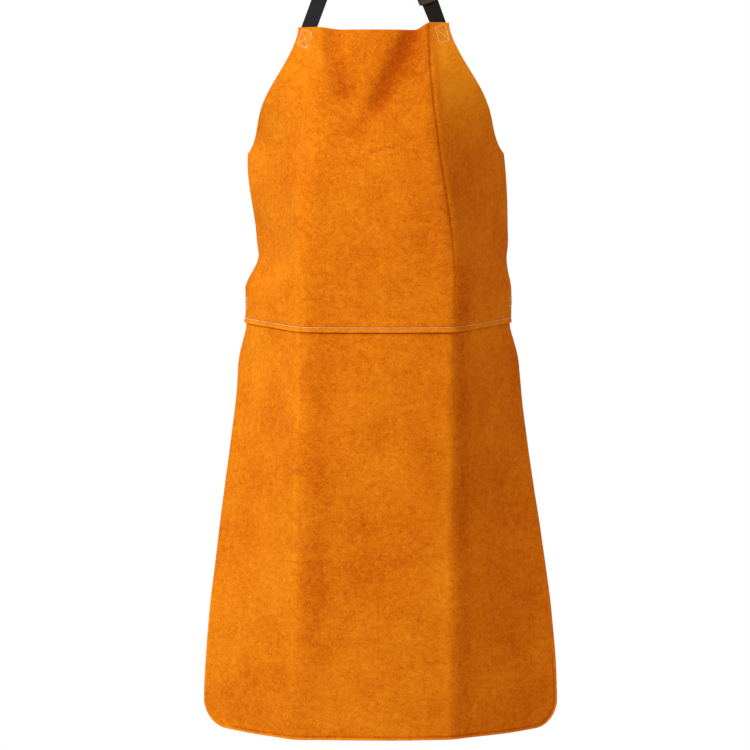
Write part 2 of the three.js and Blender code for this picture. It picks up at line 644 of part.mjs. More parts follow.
// The short neck strap: doubled round the socket's bar, with both ends sewn behind the bib's corner.
function shortNeckStrap() {
  const barMiddle = (WEB_BAR_TOP + WEB_BAR_BOTTOM) / 2;
  const turn = (WEB_BAR_TOP - WEB_BAR_BOTTOM) / 2 + BAR_TURN;
  const fold = BUCKLE_ABOVE_BIB + WEB_BAR_START + WEB_BAR_LENGTH + BAR_TURN;
  const corners = [
    [-SEWN_LENGTH, SEWN_LAYER],
    [SEWN_EXIT, SEWN_LAYER],
    [BUCKLE_ABOVE_BIB, barMiddle + turn],
    [fold, barMiddle + turn],
    [fold, barMiddle - turn],
    [BUCKLE_ABOVE_BIB, barMiddle - turn],
    [SEWN_EXIT, SECOND_LAYER],
    [-SEWN_LENGTH, SECOND_LAYER],
  ];
  return named("neck_strap_short", buckleBand(corners, FOLD_RADIUS), webbing());
}

function neckHarness() {
  const short = new THREE.Group();
  short.add(shortNeckStrap());
  short.applyMatrix4(strapFrame(1));
  const closure = buckle("neck");
  closure.applyMatrix4(strapFrame(1).multiply(new THREE.Matrix4().makeTranslation(0, BUCKLE_ABOVE_BIB, 0)));
  return [neckStrap(), short, closure];
}

// ---- Waist strap

// The strap's plan from where it is sewn behind the bib's side edge to where it crosses the back.
function roundTheWaist(side, backPoint) {
  const sewn = COLUMNS.map((share) => share * HALF_WIDTH)
    .filter((across) => side * across > HALF_WIDTH - SEWN_LENGTH - SEWN_SPARE && side * across < HALF_WIDTH)
    .sort((a, b) => side * (a - b))
    .map((across) => panelFrame(across, WAIST_STRAP_DROP, SEWN_LAYER).point);
  const edge = panelFrame(side * HALF_WIDTH, WAIST_STRAP_DROP, SEWN_LAYER);
  const out = edge.along.clone().multiplyScalar(side);
  const flat = ({ x, y }) => new THREE.Vector2(x, y);
  const route = new THREE.CubicBezierCurve(
    flat(edge.point),
    flat(edge.point.clone().addScaledVector(out, SIDE_PULL)),
    flat(backPoint).add(new THREE.Vector2(side * BACK_PULL, 0)),
    flat(backPoint),
  );
  return [...sewn.map(flat), ...route.getPoints(14)];
}

// Middle of the back: the socket's end lies to the right of it by half the closed buckle.
const WAIST_BUCKLE_X = WAIST_SWAY + (SOCKET_LENGTH + TONGUE_LENGTH) / 2;
const WAIST_BUCKLE_Y = panelFrame(HALF_WIDTH, WAIST_STRAP_DROP, 0).point.y + BACK_DEPTH;

// A place in the waist buckle's y and z, seen in plan.
const onBack = (y, z) => new THREE.Vector2(WAIST_BUCKLE_X - y, WAIST_BUCKLE_Y + z);

function waistStrap() {
  const path = roundTheWaist(-1, onBack(MOUTH + RUN_END + GAP, LOAD_LAYER));
  return named("waist_strap", standingBand(path, WEBBING_THICKNESS, WEBBING_WIDTH), webbing());
}

// The short waist strap: from the right edge to the socket's bar, turned round it and tacked to itself.
function shortWaistStrap() {
  const barMiddle = (WEB_BAR_TOP + WEB_BAR_BOTTOM) / 2;
  const turn = (WEB_BAR_TOP - WEB_BAR_BOTTOM) / 2 + BAR_TURN;
  const fold = WEB_BAR_START + WEB_BAR_LENGTH + BAR_TURN;
  const inner = barMiddle - turn;
  const doubled = inner + WEBBING_THICKNESS + GAP;
  const loop = [
    onBack(-LOOP_PARTS_BACK, inner),
    onBack(fold, inner),
    onBack(fold, barMiddle + turn),
    onBack(-LOOP_OPENS_BACK, barMiddle + turn),
    onBack(-LOOP_CLOSES_BACK, doubled),
    onBack(-BARTACK_BACK, doubled),
  ];
  const toLoop = roundTheWaist(1, onBack(-BARTACK_BACK - LOOP_JOIN, inner));
  const path = [...toLoop, ...roundedPath(loop, FOLD_RADIUS)];
  return named("waist_strap_short", standingBand(path, WEBBING_THICKNESS, WEBBING_WIDTH), webbing());
}

// Two rows of close stitches that hold the short waist strap's fold, joined by a row across.
function bartack() {
  const barMiddle = (WEB_BAR_TOP + WEB_BAR_BOTTOM) / 2;
  const turn = (WEB_BAR_TOP - WEB_BAR_BOTTOM) / 2 + BAR_TURN;
  const face = barMiddle - turn + 1.5 * WEBBING_THICKNESS + 2 * GAP;
  const height = [face, face + THREAD_THICKNESS];
  const wide = [-WEBBING_WIDTH / 2 + BARTACK_INSET, WEBBING_WIDTH / 2 - BARTACK_INSET];
  const start = -BARTACK_BACK + BARTACK_INSET;
  const end = -BARTACK_BACK + BARTACK_LENGTH;
  const row = (y) => block(wide, [y, y + 2 * THREAD_WIDTH], height);
  const link = block([-THREAD_WIDTH, THREAD_WIDTH], [start, end + 2 * THREAD_WIDTH], height);
  return named("waist_strap_bartack", joined(row(start), row(end), link), thread());
}

function waistHarness() {
  const straps = new THREE.Group();
  straps.add(waistStrap(), shortWaistStrap());
  straps.position.z = -WAIST_STRAP_DROP;
  const back = new THREE.Matrix4().makeBasis(
    new THREE.Vector3(0, 0, -1),
    new THREE.Vector3(-1, 0, 0),
    new THREE.Vector3(0, 1, 0),
  );
  const closure = buckle("waist");
  closure.add(bartack());
  closure.applyMatrix4(back.setPosition(WAIST_BUCKLE_X, WAIST_BUCKLE_Y, -WAIST_STRAP_DROP));
  return [straps, closure];
}

// ---- The whole apron

const apron = new THREE.Group();
apron.add(
  bibPanel(),
  skirtPanel(),
  waistSeamStitching(),
  ...boxStitchings(),
  ...neckHarness(),
  ...waistHarness(),
);
apron.position.set(-NAPE.x, WEBBING_THICKNESS / 2 - NAPE.y, -NAPE.z);

export default new THREE.Group().add(apron);
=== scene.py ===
"""A welder's apron of split leather, in the shape in which it hangs when it is worn.

Metres, +Z up, and the front faces -Y. The leather is laid out by two measures of the flat hide: "across",
along the leather from its middle line (negative to the left), and "drop", down from the bib's top edge.
"Lift" is the height off the skirt's inner face. Turns, leans and curls are in degrees.
"""
import math
import random

import bmesh
import bpy
import numpy as np
from mathutils import Matrix, Vector, noise


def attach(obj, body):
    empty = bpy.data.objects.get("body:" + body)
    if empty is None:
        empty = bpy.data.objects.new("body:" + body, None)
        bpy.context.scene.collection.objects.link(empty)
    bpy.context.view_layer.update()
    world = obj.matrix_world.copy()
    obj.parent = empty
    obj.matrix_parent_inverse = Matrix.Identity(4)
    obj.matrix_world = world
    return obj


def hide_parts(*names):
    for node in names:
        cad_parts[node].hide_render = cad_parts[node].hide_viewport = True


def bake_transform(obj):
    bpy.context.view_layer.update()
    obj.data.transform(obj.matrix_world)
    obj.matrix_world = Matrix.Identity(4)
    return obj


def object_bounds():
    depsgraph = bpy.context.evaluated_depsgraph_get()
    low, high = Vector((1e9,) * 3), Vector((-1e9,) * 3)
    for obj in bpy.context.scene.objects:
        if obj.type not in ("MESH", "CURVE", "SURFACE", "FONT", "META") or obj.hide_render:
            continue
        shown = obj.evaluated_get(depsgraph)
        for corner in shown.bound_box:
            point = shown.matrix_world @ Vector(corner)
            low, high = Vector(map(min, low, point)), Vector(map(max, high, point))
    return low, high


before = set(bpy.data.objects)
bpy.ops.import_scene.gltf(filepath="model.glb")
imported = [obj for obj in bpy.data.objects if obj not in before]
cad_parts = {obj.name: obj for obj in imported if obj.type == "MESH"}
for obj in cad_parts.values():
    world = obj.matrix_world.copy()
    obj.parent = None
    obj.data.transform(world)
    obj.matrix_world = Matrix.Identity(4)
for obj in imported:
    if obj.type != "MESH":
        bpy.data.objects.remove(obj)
cad_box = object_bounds()

MM = 0.001
DEGREE = math.pi / 180

# ---- Leather: flat sizes
APRON_LENGTH = 1070 * MM
LEATHER_WIDTH = 610 * MM
BIB_TOP_WIDTH = 226 * MM
BIB_HEIGHT = 446 * MM
ARMHOLE_DROP = 185 * MM
ARMHOLE_BEND = 1.65
HEM_CORNER_RADIUS = 42 * MM
LEATHER_THICKNESS = 1.8 * MM
SEAM_LAP = 16 * MM

# ---- Webbing
WEBBING_WIDTH = 25 * MM
WEBBING_THICKNESS = 1.5 * MM
STRAP_INSET = 16 * MM
STRAP_LEAN = 18
SEWN_LENGTH = 28 * MM
SEWN_EXIT = 4 * MM
BUCKLE_ABOVE_BIB = 32 * MM
SHOULDER_REACH = 145 * MM
SHOULDER_PLACE = Vector((75 * MM, 122 * MM, 154 * MM))
SHOULDER_SLOPE = Vector((0, 1, -0.59)).normalized()
SHOULDER_LEAD = 90 * MM
SHOULDER_RUN_OUT = 60 * MM
FACE_CLIMBING = Vector((-0.5, -1.2, 2))
FACE_DESCENDING = Vector((1.5, -0.3, -0.2))
FACE_NAPE = Vector((0, 1, 0))
LEFT_STRAIGHT = 50 * MM
STRAIGHT_LEAD = 3 * MM
NAPE = Vector((0, 167 * MM, 109 * MM))
NAPE_FLAT = 30 * MM
NAPE_PULL = 22 * MM
WAIST_STRAP_ABOVE_SKIRT = 2.5 * MM
BACK_DEPTH = 85 * MM
SIDE_PULL = 60 * MM
BACK_PULL = 95 * MM
BARTACK_BACK = 30 * MM
BARTACK_LENGTH = 13 * MM
BARTACK_INSET = 3 * MM
BARTACK_WIDE = 1.8 * MM
BARTACK_PITCH = 0.62 * MM
BARTACK_THREAD = 0.3 * MM
BARTACK_DIVE = 0.2 * MM
BARTACK_PROUD = 0.25 * MM
BARTACK_LEAD = 4 * MM
LOOP_PARTS_BACK = 10 * MM
LOOP_CLOSES_BACK = 12 * MM
LOOP_OPENS_BACK = 2 * MM
FOLD_RADIUS = 1.6 * MM
THREADED_RADIUS = 1.4 * MM
ARC_STEPS = 7
SELVEDGE_ARC = 1.05
HERRINGBONE_WIDTH = 3.1 * MM
HERRINGBONE_RISE = 1.95 * MM
RIB_PITCH = 1.5 * MM
WARP_PITCH = 0.78 * MM

# ---- Buckle, in its own frame: y along the strap from the socket's end, z outward
BUCKLE_CHEEK = 3.3 * MM
SOCKET_LENGTH = 31 * MM
WEB_BAR_END = 7 * MM
WEB_BAR_MIDDLE = -0.8 * MM
WEB_BAR_HALF = 1.4 * MM
TONGUE_LENGTH = 17.5 * MM
TONGUE_HALF_HEIGHT = 3.5 * MM
LADDER_BLOCK = 3 * MM
LADDER_BAR = 3 * MM
LADDER_BAR_TOP = 1.8 * MM
WEB_SLOT = 3.5 * MM
SLOT_SPARE = 0.7 * MM
END_BAR_BOTTOM = -0.5 * MM
PRONG_ROOT = 10 * MM
PRONG_SHOULDER = 5.4 * MM
PRONG_HALF = 1.8 * MM
SHOULDER_TOP = 6.8 * MM
RUN_END = 38 * MM
TAIL_END = 36 * MM
GRIP_RIBS = 3
GRIP_SIDES = 10
TONGUE_RIB = 0.32 * MM
TONGUE_RIB_PITCH = 1.2 * MM
TONGUE_RIB_HALF = 9 * MM
SOCKET_RIB = 0.3 * MM
SOCKET_RIB_PITCH = 2 * MM
SOCKET_RIB_FROM = 9.5 * MM
SOCKET_RIB_INNER = 4 * MM
SOCKET_RIB_OUTER = 1 * MM
SOCKET_RIB_LIFT = 5 * MM
PRONG_RIB = 0.28 * MM
PRONG_RIB_PITCH = 1 * MM
PRONG_RIB_INSET = 0.5 * MM
SOCKET_ROUNDING = 0.7 * MM
TONGUE_ROUNDING = 0.45 * MM
PRONG_ROUNDING = 0.35 * MM
WELD = 0.002 * MM
FLAT_WITHIN = 1
ROUNDED_FROM = 32
SHARP_FROM = 40

# ---- Thread
SEAM_STITCH_UP = 7 * MM
SEAM_STITCH_INSET = 4 * MM
BOX_STITCH_WIDTH = 17 * MM
BOX_STITCH_HEIGHT = 24 * MM
BOX_STITCH_DROP = 17 * MM
WAIST_STITCH_INSET = 17 * MM
STITCH_PITCH = 3.1 * MM
STITCH_RADIUS = 0.5 * MM
STITCH_DIVE = 0.55 * MM
STITCH_WANDER = 0.12 * MM
STITCH_PROUD = 0.2 * MM
STITCH_SPAN = (0.05, 0.95)
THREAD_TWIST = 0.9 * MM

# ---- Clearances
GAP = 0.3 * MM
SEWN_GAP = 0.5 * MM

# ---- Values that follow from those above
HALF_WIDTH = LEATHER_WIDTH / 2
SKIRT_TOP = BIB_HEIGHT - SEAM_LAP
SEAM_DROP = BIB_HEIGHT - SEAM_STITCH_UP
BIB_INNER = LEATHER_THICKNESS + GAP
BIB_OUTER = BIB_INNER + LEATHER_THICKNESS
SEWN_LAYER = BIB_INNER - SEWN_GAP - WEBBING_THICKNESS / 2
SECOND_LAYER = SEWN_LAYER - WEBBING_THICKNESS - GAP
BAR_TURN = WEBBING_THICKNESS / 2 + GAP
TAIL_LAYER = END_BAR_BOTTOM - BAR_TURN
LOAD_LAYER = TAIL_LAYER - WEBBING_THICKNESS - GAP
STRAP_ACROSS = BIB_TOP_WIDTH / 2 - STRAP_INSET
WAIST_STRAP_DROP = SKIRT_TOP - WAIST_STRAP_ABOVE_SKIRT - WEBBING_WIDTH / 2

# ---- How the leather hangs; side -1 is the left and 1 the right
STRAP_INNER_EDGE = STRAP_ACROSS - WEBBING_WIDTH / 2
CREASE_BESIDE_STRAP = 4.5 * MM
CREASE_TOP = STRAP_INNER_EDGE - CREASE_BESIDE_STRAP
CREASE_RIGHT = 112 * MM
CREASE_LEFT_WAIST = 118 * MM
CREASE_LEFT_HEM = 128 * MM
CREASE_SPREAD_TOP = 7 * MM
CREASE_SPREAD = 22 * MM
TURN_TOP = 24
TURN_ARMHOLE = 61.5
TURN_RIBS = {-1: 68, 1: 63}
TURN_WAIST = 58
TURN_HEM = {-1: 34, 1: 30}
HEM_SIDE_SAG = 6 * MM
CORNER_RISE = {-1: 4 * MM, 1: 11 * MM}
CORNER_RISE_FROM = {-1: 45 * MM, 1: 60 * MM}
FRONT_BULGE = 7
FLAT_CORNER_DROP = 35 * MM
CHEST_SLOPE = 0.2
CHEST_SLOPE_DROP = 220 * MM
BELLY_FORWARD = 10 * MM
WAIST_SWAY = 9 * MM
EDGE_CURL = 38
EDGE_CURL_REACH = 43 * MM
EDGE_CURL_MARGIN = 7.5 * MM
EDGE_CURL_CORE = WEBBING_WIDTH / 2 + EDGE_CURL_MARGIN
EDGE_CURL_FADE = 80 * MM
WAIST_DROP = WAIST_STRAP_DROP - EDGE_CURL_CORE
RIBS_ABOVE_WAIST = 57 * MM
RIBS_DROP = WAIST_DROP - RIBS_ABOVE_WAIST
WALK_STEPS = 240
ROW_ORIGIN = Vector((0, NAPE.y - WEBBING_THICKNESS / 2, NAPE.z))


def smooth(t):
    t = np.clip(t, 0, 1)
    return t * t * (3 - 2 * t)


def mix(a, b, t):
    return a + (b - a) * t


def rising(value, start, length):
    """A soft step: 0 up to the start, 1 from a length beyond it."""
    return smooth((value - start) / length)


def ridge(value, place, width):
    """A soft ridge, 1 at its place."""
    return np.exp(-(((value - place) / width) ** 2))


# ---- The leather's hanging surface


def to_waist(drop):
    return rising(drop, 0, WAIST_DROP)


def to_hem(drop):
    return rising(drop, BIB_HEIGHT, APRON_LENGTH - BIB_HEIGHT)


def bib_half_width(drop):
    return mix(BIB_TOP_WIDTH / 2, HALF_WIDTH, np.minimum(1, drop / ARMHOLE_DROP) ** ARMHOLE_BEND)


def skirt_half_width(drop):
    into_corner = np.maximum(0, drop - (APRON_LENGTH - HEM_CORNER_RADIUS))
    return HALF_WIDTH - HEM_CORNER_RADIUS + np.sqrt(np.maximum(0, HEM_CORNER_RADIUS**2 - into_corner**2))


def crease_across(side, drop):
    """Distance of the upright crease from the middle line, where the leather turns back round the body."""
    lower = CREASE_RIGHT if side > 0 else mix(CREASE_LEFT_WAIST, CREASE_LEFT_HEM, to_hem(drop))
    return mix(CREASE_TOP, lower, to_waist(drop))


def side_turn(side, drop):
    """How far the side panel is turned back from the front, in degrees."""
    if drop < ARMHOLE_DROP:
        below_corner = rising(drop, FLAT_CORNER_DROP, ARMHOLE_DROP - FLAT_CORNER_DROP)
        return mix(TURN_TOP, TURN_ARMHOLE, below_corner)
    below_armhole = rising(drop, ARMHOLE_DROP, RIBS_DROP - ARMHOLE_DROP)
    below_ribs = rising(drop, RIBS_DROP, WAIST_DROP - RIBS_DROP)
    ribs = mix(TURN_ARMHOLE, TURN_RIBS[side], below_armhole)
    return mix(mix(ribs, TURN_WAIST, below_ribs), TURN_HEM[side], to_hem(drop))


def corner_rise(side, reach, drop):
    """The strap holds up the bib's corner, and the hem hangs lower at its sides."""
    lifted_from = CORNER_RISE_FROM[side]
    at_corner = rising(reach, lifted_from, STRAP_INNER_EDGE - lifted_from)
    rise = CORNER_RISE[side] * at_corner * (1 - rising(drop, FLAT_CORNER_DROP, ARMHOLE_DROP))
    return rise - HEM_SIDE_SAG * rising(reach, CREASE_TOP, HALF_WIDTH / 2) * to_hem(drop)


def heading(side, reach, drop):
    """Direction of the leather in plan, in radians from straight across."""
    crease = crease_across(side, drop)
    spread = mix(CREASE_SPREAD_TOP, CREASE_SPREAD, smooth(drop / ARMHOLE_DROP))
    bulge = FRONT_BULGE * np.minimum(1, reach / crease)
    turned = rising(reach, crease - spread, 2 * spread)
    near_strap = 1 - rising(abs(drop - WAIST_STRAP_DROP), EDGE_CURL_CORE, EDGE_CURL_FADE)
    curl = EDGE_CURL * near_strap * rising(reach, HALF_WIDTH - EDGE_CURL_REACH, EDGE_CURL_REACH)
    return DEGREE * (bulge + (side_turn(side, drop) - FRONT_BULGE) * turned + curl)


def hide_row(side, reaches, drop, lift):
    """Points, outward normals and directions across for one drop, at distances out from the middle line."""
    # The leather is walked outwards in short straight steps, so that the hide keeps its flat width
    reaches = np.asarray(reaches, float)
    marks = np.linspace(0, max(reaches.max(), MM), WALK_STEPS + 1)
    angle = heading(side, (marks[1:] + marks[:-1]) / 2, drop)
    x = np.interp(reaches, marks, np.concatenate([[0], np.cumsum(np.cos(angle))]) * marks[1])
    y = np.interp(reaches, marks, np.concatenate([[0], np.cumsum(np.sin(angle))]) * marks[1])
    end = heading(side, reaches, drop)
    share = min(1, max(0, (drop - FLAT_CORNER_DROP) / CHEST_SLOPE_DROP))
    slope = CHEST_SLOPE * (1 - share)
    depth = -CHEST_SLOPE * (min(drop, FLAT_CORNER_DROP) + CHEST_SLOPE_DROP * (share - share**2 / 2))
    normal = np.stack([side * np.sin(end), -np.cos(end), slope * np.cos(end)], 1)
    normal /= np.linalg.norm(normal, axis=1)[:, None]
    across = np.stack([np.cos(end), side * np.sin(end), 0 * end], 1)
    middle_x = WAIST_SWAY * to_waist(drop)
    middle_y = depth - BELLY_FORWARD * to_hem(drop)
    point = np.stack([middle_x + side * x, middle_y + y, corner_rise(side, reaches, drop) - drop], 1)
    point += normal * np.reshape(lift * np.ones_like(reaches), (-1, 1)) - np.array(ROW_ORIGIN)
    return point, normal, across


def on_hide(across, drop, lift):
    """One place on the hanging leather: its point, outward normal and direction across."""
    side = -1 if across < 0 else 1
    return [Vector(v[0]) for v in hide_row(side, [abs(across)], drop, lift)]


# ---- Small relief pressed or worn into the leather, with the light and shade painted into its colour

# A pair is the start and length of a soft step, or the place and width of a soft ridge
CALM_NECK_ACROSS = (66 * MM, 12 * MM)
CALM_NECK_DOWN = (36 * MM, 24 * MM)
CALM_WAIST_ACROSS = (252 * MM, 14 * MM)
CALM_WAIST_DOWN = (15 * MM, 12 * MM)
RIGHT_FOLD_SOFTENS = (260 * MM, 190 * MM)
RIGHT_FOLD_LINE = (0, 1.7 * MM)
RIGHT_FOLD_PALE_IN_BIB = (6 * MM, 4.5 * MM)
RIGHT_FOLD_PALE_IN_SKIRT = (-9 * MM, 9 * MM)
RIGHT_FOLD_SHADED = (20 * MM, 16 * MM)
LEFT_FOLD_STARTS = (300 * MM, 160 * MM)
LEFT_FOLD_EASES = (860 * MM, 180 * MM)
LEFT_FOLD_DEEPEST = (850 * MM, 110 * MM)
LEFT_FOLD_LINE = (-2 * MM, 2.4 * MM)
LEFT_FOLD_PALE = (6 * MM, 5 * MM)
LEFT_FOLD_SHADED = (-30 * MM, 24 * MM)
# Where the upper right panel beyond the crease is painted lighter: a painted highlight
PAINTED_LIGHT_ACROSS = (0, 22 * MM)
PAINTED_LIGHT_DOWN = (70 * MM, 150 * MM)
LAP_STEP = (SKIRT_TOP - 4 * MM, 7 * MM)
SEAM_DRAWN_IN = (SEAM_DROP, 1.5 * MM)
SEAM_FLARE = (SEAM_DROP + 2 * MM, 5 * MM)
# A painted highlight on the bib's band below the seam's stitches
PAINTED_LIGHT_BELOW_SEAM = (SEAM_DROP, 3 * MM)
# A painted shadow on the skirt just under the bib's lower edge
SHADOW_UNDER_BIB = (BIB_HEIGHT + 1 * MM, 2.2 * MM)
# The hem's pressed line is painted darker, its bead and the left edge's roll lighter: painted shade and
# painted highlights
HEM_LINE_DOWN = (APRON_LENGTH - 3 * HEM_CORNER_RADIUS, HEM_CORNER_RADIUS)
HEM_LINE_ACROSS = (20 * MM - HALF_WIDTH, 60 * MM)
HEM_LINE = (4.2 * MM, 1.3 * MM)
HEM_BEAD = (1 * MM, 1.8 * MM)
LEFT_ROLL_DOWN = (830 * MM, 60 * MM)
LEFT_ROLL = (1.5 * MM, 2.2 * MM)

# A swell has its size, the seed of its noise and its height in millimetres
SWELLS = ((130 * MM, 3.1, 2.3), (50 * MM, 8.7, 0.6))
FLARE_WAVES = (28 * MM, 5.5, 0.9)

# A pressed wrinkle of the bib, sunk and also painted darker as painted shade
WRINKLE_START = Vector((-18 * MM, 182 * MM))
WRINKLE_END = Vector((42 * MM, 166 * MM))
WRINKLE_WIDTH = 1.8 * MM
GROOVE_FADE = 0.2

# A hollow of the bib has its two ends, its width and how deep it is beside the others; a hollow is sunk into
# the leather and also painted darker, a painted shade
HOLLOWS = (
    (Vector((74 * MM, -30 * MM)), Vector((-8 * MM, 130 * MM)), 17 * MM, 1.5),
    (Vector((-66 * MM, -10 * MM)), Vector((-40 * MM, 115 * MM)), 15 * MM, 0.8),
    (Vector((40 * MM, 60 * MM)), Vector((84 * MM, 74 * MM)), 7 * MM, 0.4),
    (Vector((-46 * MM, 170 * MM)), Vector((10 * MM, 100 * MM)), 12 * MM, 0.4),
)


def calm_at_straps(across, drop):
    """0 where a strap is sewn behind the leather, 1 away from it."""
    reach = np.abs(across)
    neck = rising(reach, *CALM_NECK_ACROSS) * (1 - rising(drop, *CALM_NECK_DOWN))
    beside_strap = rising(abs(drop - WAIST_STRAP_DROP), *CALM_WAIST_DOWN)
    return (1 - neck) * (1 - rising(reach, *CALM_WAIST_ACROSS) * (1 - beside_strap))


def swell(across, drop, size, seed, height):
    """Soft random swells of about the given size, up and down by as much as the height."""
    return height * np.array([noise.noise(Vector((a / size, drop / size, seed))) for a in across])


def groove(across, drop, start, end, width):
    """How close each place lies to a line pressed into the hide, fading at the line's ends."""
    line = end - start
    share = ((across - start.x) * line.x + (drop - start.y) * line.y) / line.length_squared
    sideways = ((across - start.x) * line.y - (drop - start.y) * line.x) / line.length
    return ridge(sideways, 0, width) * smooth(share / GROOVE_FADE) * smooth((1 - share) / GROOVE_FADE)


def right_crease(across, drop):
    """The packing fold beside the strap: a groove in the bib, a pale and a shaded side in the skirt. The
    groove and the shaded side are sunk and painted darker as painted shade, the pale side raised and painted
    lighter as a painted highlight.
    """
    in_skirt = rising(drop, *RIGHT_FOLD_SOFTENS)
    away = across - crease_across(1, drop)
    line = mix(1, 0.1, in_skirt) * ridge(away, *RIGHT_FOLD_LINE)
    place, width = (mix(*ends, in_skirt) for ends in zip(RIGHT_FOLD_PALE_IN_BIB, RIGHT_FOLD_PALE_IN_SKIRT))
    pale = mix(1, 0.8, in_skirt) * ridge(away, place, width)
    return line, pale - 0.9 * in_skirt * ridge(away, *RIGHT_FOLD_SHADED)


def left_crease(across, drop):
    """The skirt's left fold, with a paler side towards the edge and a shaded one towards the middle. Its line
    and shaded side are sunk and painted darker as painted shade, its paler side raised and painted lighter as
    a painted highlight.
    """
    strength = 0.5 * rising(drop, *LEFT_FOLD_STARTS) * (1 - 0.6 * rising(drop, *LEFT_FOLD_EASES))
    away = -across - crease_across(-1, drop)
    shaded = (1.5 + 1.4 * ridge(drop, *LEFT_FOLD_DEEPEST)) * ridge(away, *LEFT_FOLD_SHADED)
    line = 0.3 * ridge(away, *LEFT_FOLD_LINE)
    return strength * line, strength * (ridge(away, *LEFT_FOLD_PALE) - shaded)


def edge_distance(across, drop):
    """Distance of a place on the skirt in from its cut edge, round corners included."""
    side = HALF_WIDTH - np.abs(across)
    end = APRON_LENGTH - drop
    in_corner = (side < HEM_CORNER_RADIUS) & (end < HEM_CORNER_RADIUS)
    round_corner = HEM_CORNER_RADIUS - np.hypot(HEM_CORNER_RADIUS - side, HEM_CORNER_RADIUS - end)
    return np.where(in_corner, round_corner, np.minimum(side, end))


def shared_relief(across, drop):
    """Swells and folds that bib and skirt share: their height, and the light and shade painted into the
    colour with them, above 0 for painted shade in grooves, folds and hollows and below 0 for painted
    highlight on pale fold sides and the upper right panel.
    """
    right_line, right_band = right_crease(across, drop)
    left_line, left_band = left_crease(across, drop)
    wrinkle = groove(across, drop, WRINKLE_START, WRINKLE_END, WRINKLE_WIDTH)
    hollow = sum(depth * groove(across, drop, start, end, width) for start, end, width, depth in HOLLOWS)
    # The upper right panel beyond the crease, painted lighter as a painted highlight
    in_corner = rising(across - crease_across(1, drop), *PAINTED_LIGHT_ACROSS) * (1 - rising(drop, *PAINTED_LIGHT_DOWN))
    folds = 0.4 * right_band - 0.75 * right_line + 0.5 * left_band - 0.5 * left_line
    pressed = 0.5 * wrinkle + 2.4 * hollow
    swells = sum(swell(across, drop, *kind) for kind in SWELLS)
    height = (swells + folds - pressed) * calm_at_straps(across, drop)
    # Darker colour in the fold lines, the wrinkle and the hollows: painted shade
    painted_fold_shade = 0.9 * right_line + 0.55 * left_line + 0.55 * wrinkle + 0.8 * hollow
    # Lighter colour on the folds' pale sides and the upper right panel, darker on their shaded sides: painted
    # light and shade
    painted_light_and_shade = 0.35 * right_band + 0.4 * left_band + 1.2 * in_corner
    return height * MM, painted_fold_shade - painted_light_and_shade


def bib_relief(across, drop):
    """The bib rises over the skirt's edge, is drawn in by the seam and flares out below it; the seam's
    drawn-in line is painted darker as painted shade and the band below it lighter as a painted highlight.
    """
    height, nap = shared_relief(across, drop)
    over_lap = rising(drop, *LAP_STEP)
    drawn_in = ridge(drop, *SEAM_DRAWN_IN)
    flare = rising(drop, *SEAM_FLARE) * (0.7 + swell(across, drop, *FLARE_WAVES))
    seam = 0.85 * over_lap * (1 - drawn_in) + 0.7 * flare
    # Painted shade along the seam's drawn-in line and a painted highlight on the band below it
    nap = nap + 0.5 * drawn_in * over_lap - 0.3 * rising(drop, *PAINTED_LIGHT_BELOW_SEAM)
    return height + seam * MM * calm_at_straps(across, drop), nap


def skirt_relief(across, drop):
    """The pressed line and bead of the hem and the roll of the left edge, with painted shade in the pressed
    line, painted highlights on the bead and the roll, and a painted shadow on the skirt under the bib's lower
    edge.
    """
    height, nap = shared_relief(across, drop)
    inward = edge_distance(across, drop)
    hem = rising(drop, *HEM_LINE_DOWN) * rising(across, *HEM_LINE_ACROSS)
    pressed = ridge(inward, *HEM_LINE)
    bead = ridge(inward, *HEM_BEAD)
    left_roll = rising(drop, *LEFT_ROLL_DOWN) * (across < 0) * ridge(inward, *LEFT_ROLL)
    height = height + (0.75 * hem * (bead - pressed) + 0.6 * left_roll) * MM
    # Painted shade in the hem's pressed line, painted highlights on its bead and the left roll, and a painted
    # shadow under the bib's edge
    nap = nap + hem * (0.8 * pressed - 0.3 * bead) - 0.4 * left_roll + 0.5 * ridge(drop, *SHADOW_UNDER_BIB)
    return height, nap


# ---- Meshes


def new_piece(name, points, faces, finish):
    """A smooth-shaded piece of the object from points and faces, with its finish."""
    mesh = bpy.data.meshes.new(name)
    mesh.from_pydata([tuple(p) for p in points], [], faces)
    mesh.update()
    mesh.shade_smooth()
    return placed(bpy.data.objects.new(name, mesh), finish)


def placed(piece, finish):
    """Puts a piece in the scene with its one finish."""
    bpy.context.scene.collection.objects.link(piece)
    piece.data.materials.clear()
    piece.data.materials.append(finish)
    return piece


def store(piece, name, values, kind="FLOAT"):
    """Keeps one number or vector for each point of the piece, for its finish to read."""
    field = "vector" if kind == "FLOAT_VECTOR" else "value"
    attribute = piece.data.attributes.new(name, kind, "POINT")
    attribute.data.foreach_set(field, np.asarray(values, np.float32).ravel())


def spaced(start, *runs):
    """Places from start to end, in runs of (end, number of steps)."""
    places = [start]
    for end, steps in runs:
        places += list(np.linspace(places[-1], end, steps + 1)[1:])
    return places


CREASE_FINE = 9 * MM
EDGE_FINE = 8 * MM
EDGE_ROUND = 0.45 * MM
EDGE_NAP = -0.3
CUT_WANDER = 0.7 * MM
CUT_WANDER_LENGTH = 60 * MM


def reaches_out(side, drop, half_width):
    """Distances out from the middle line, closest together at the crease and at the cut edge."""
    crease = min(crease_across(side, drop), half_width - 3 * CREASE_FINE)
    before = (crease - CREASE_FINE, 26)
    fold = (crease + CREASE_FINE, 14)
    return spaced(0, before, fold, (half_width - EDGE_FINE, 40), (half_width, 8))


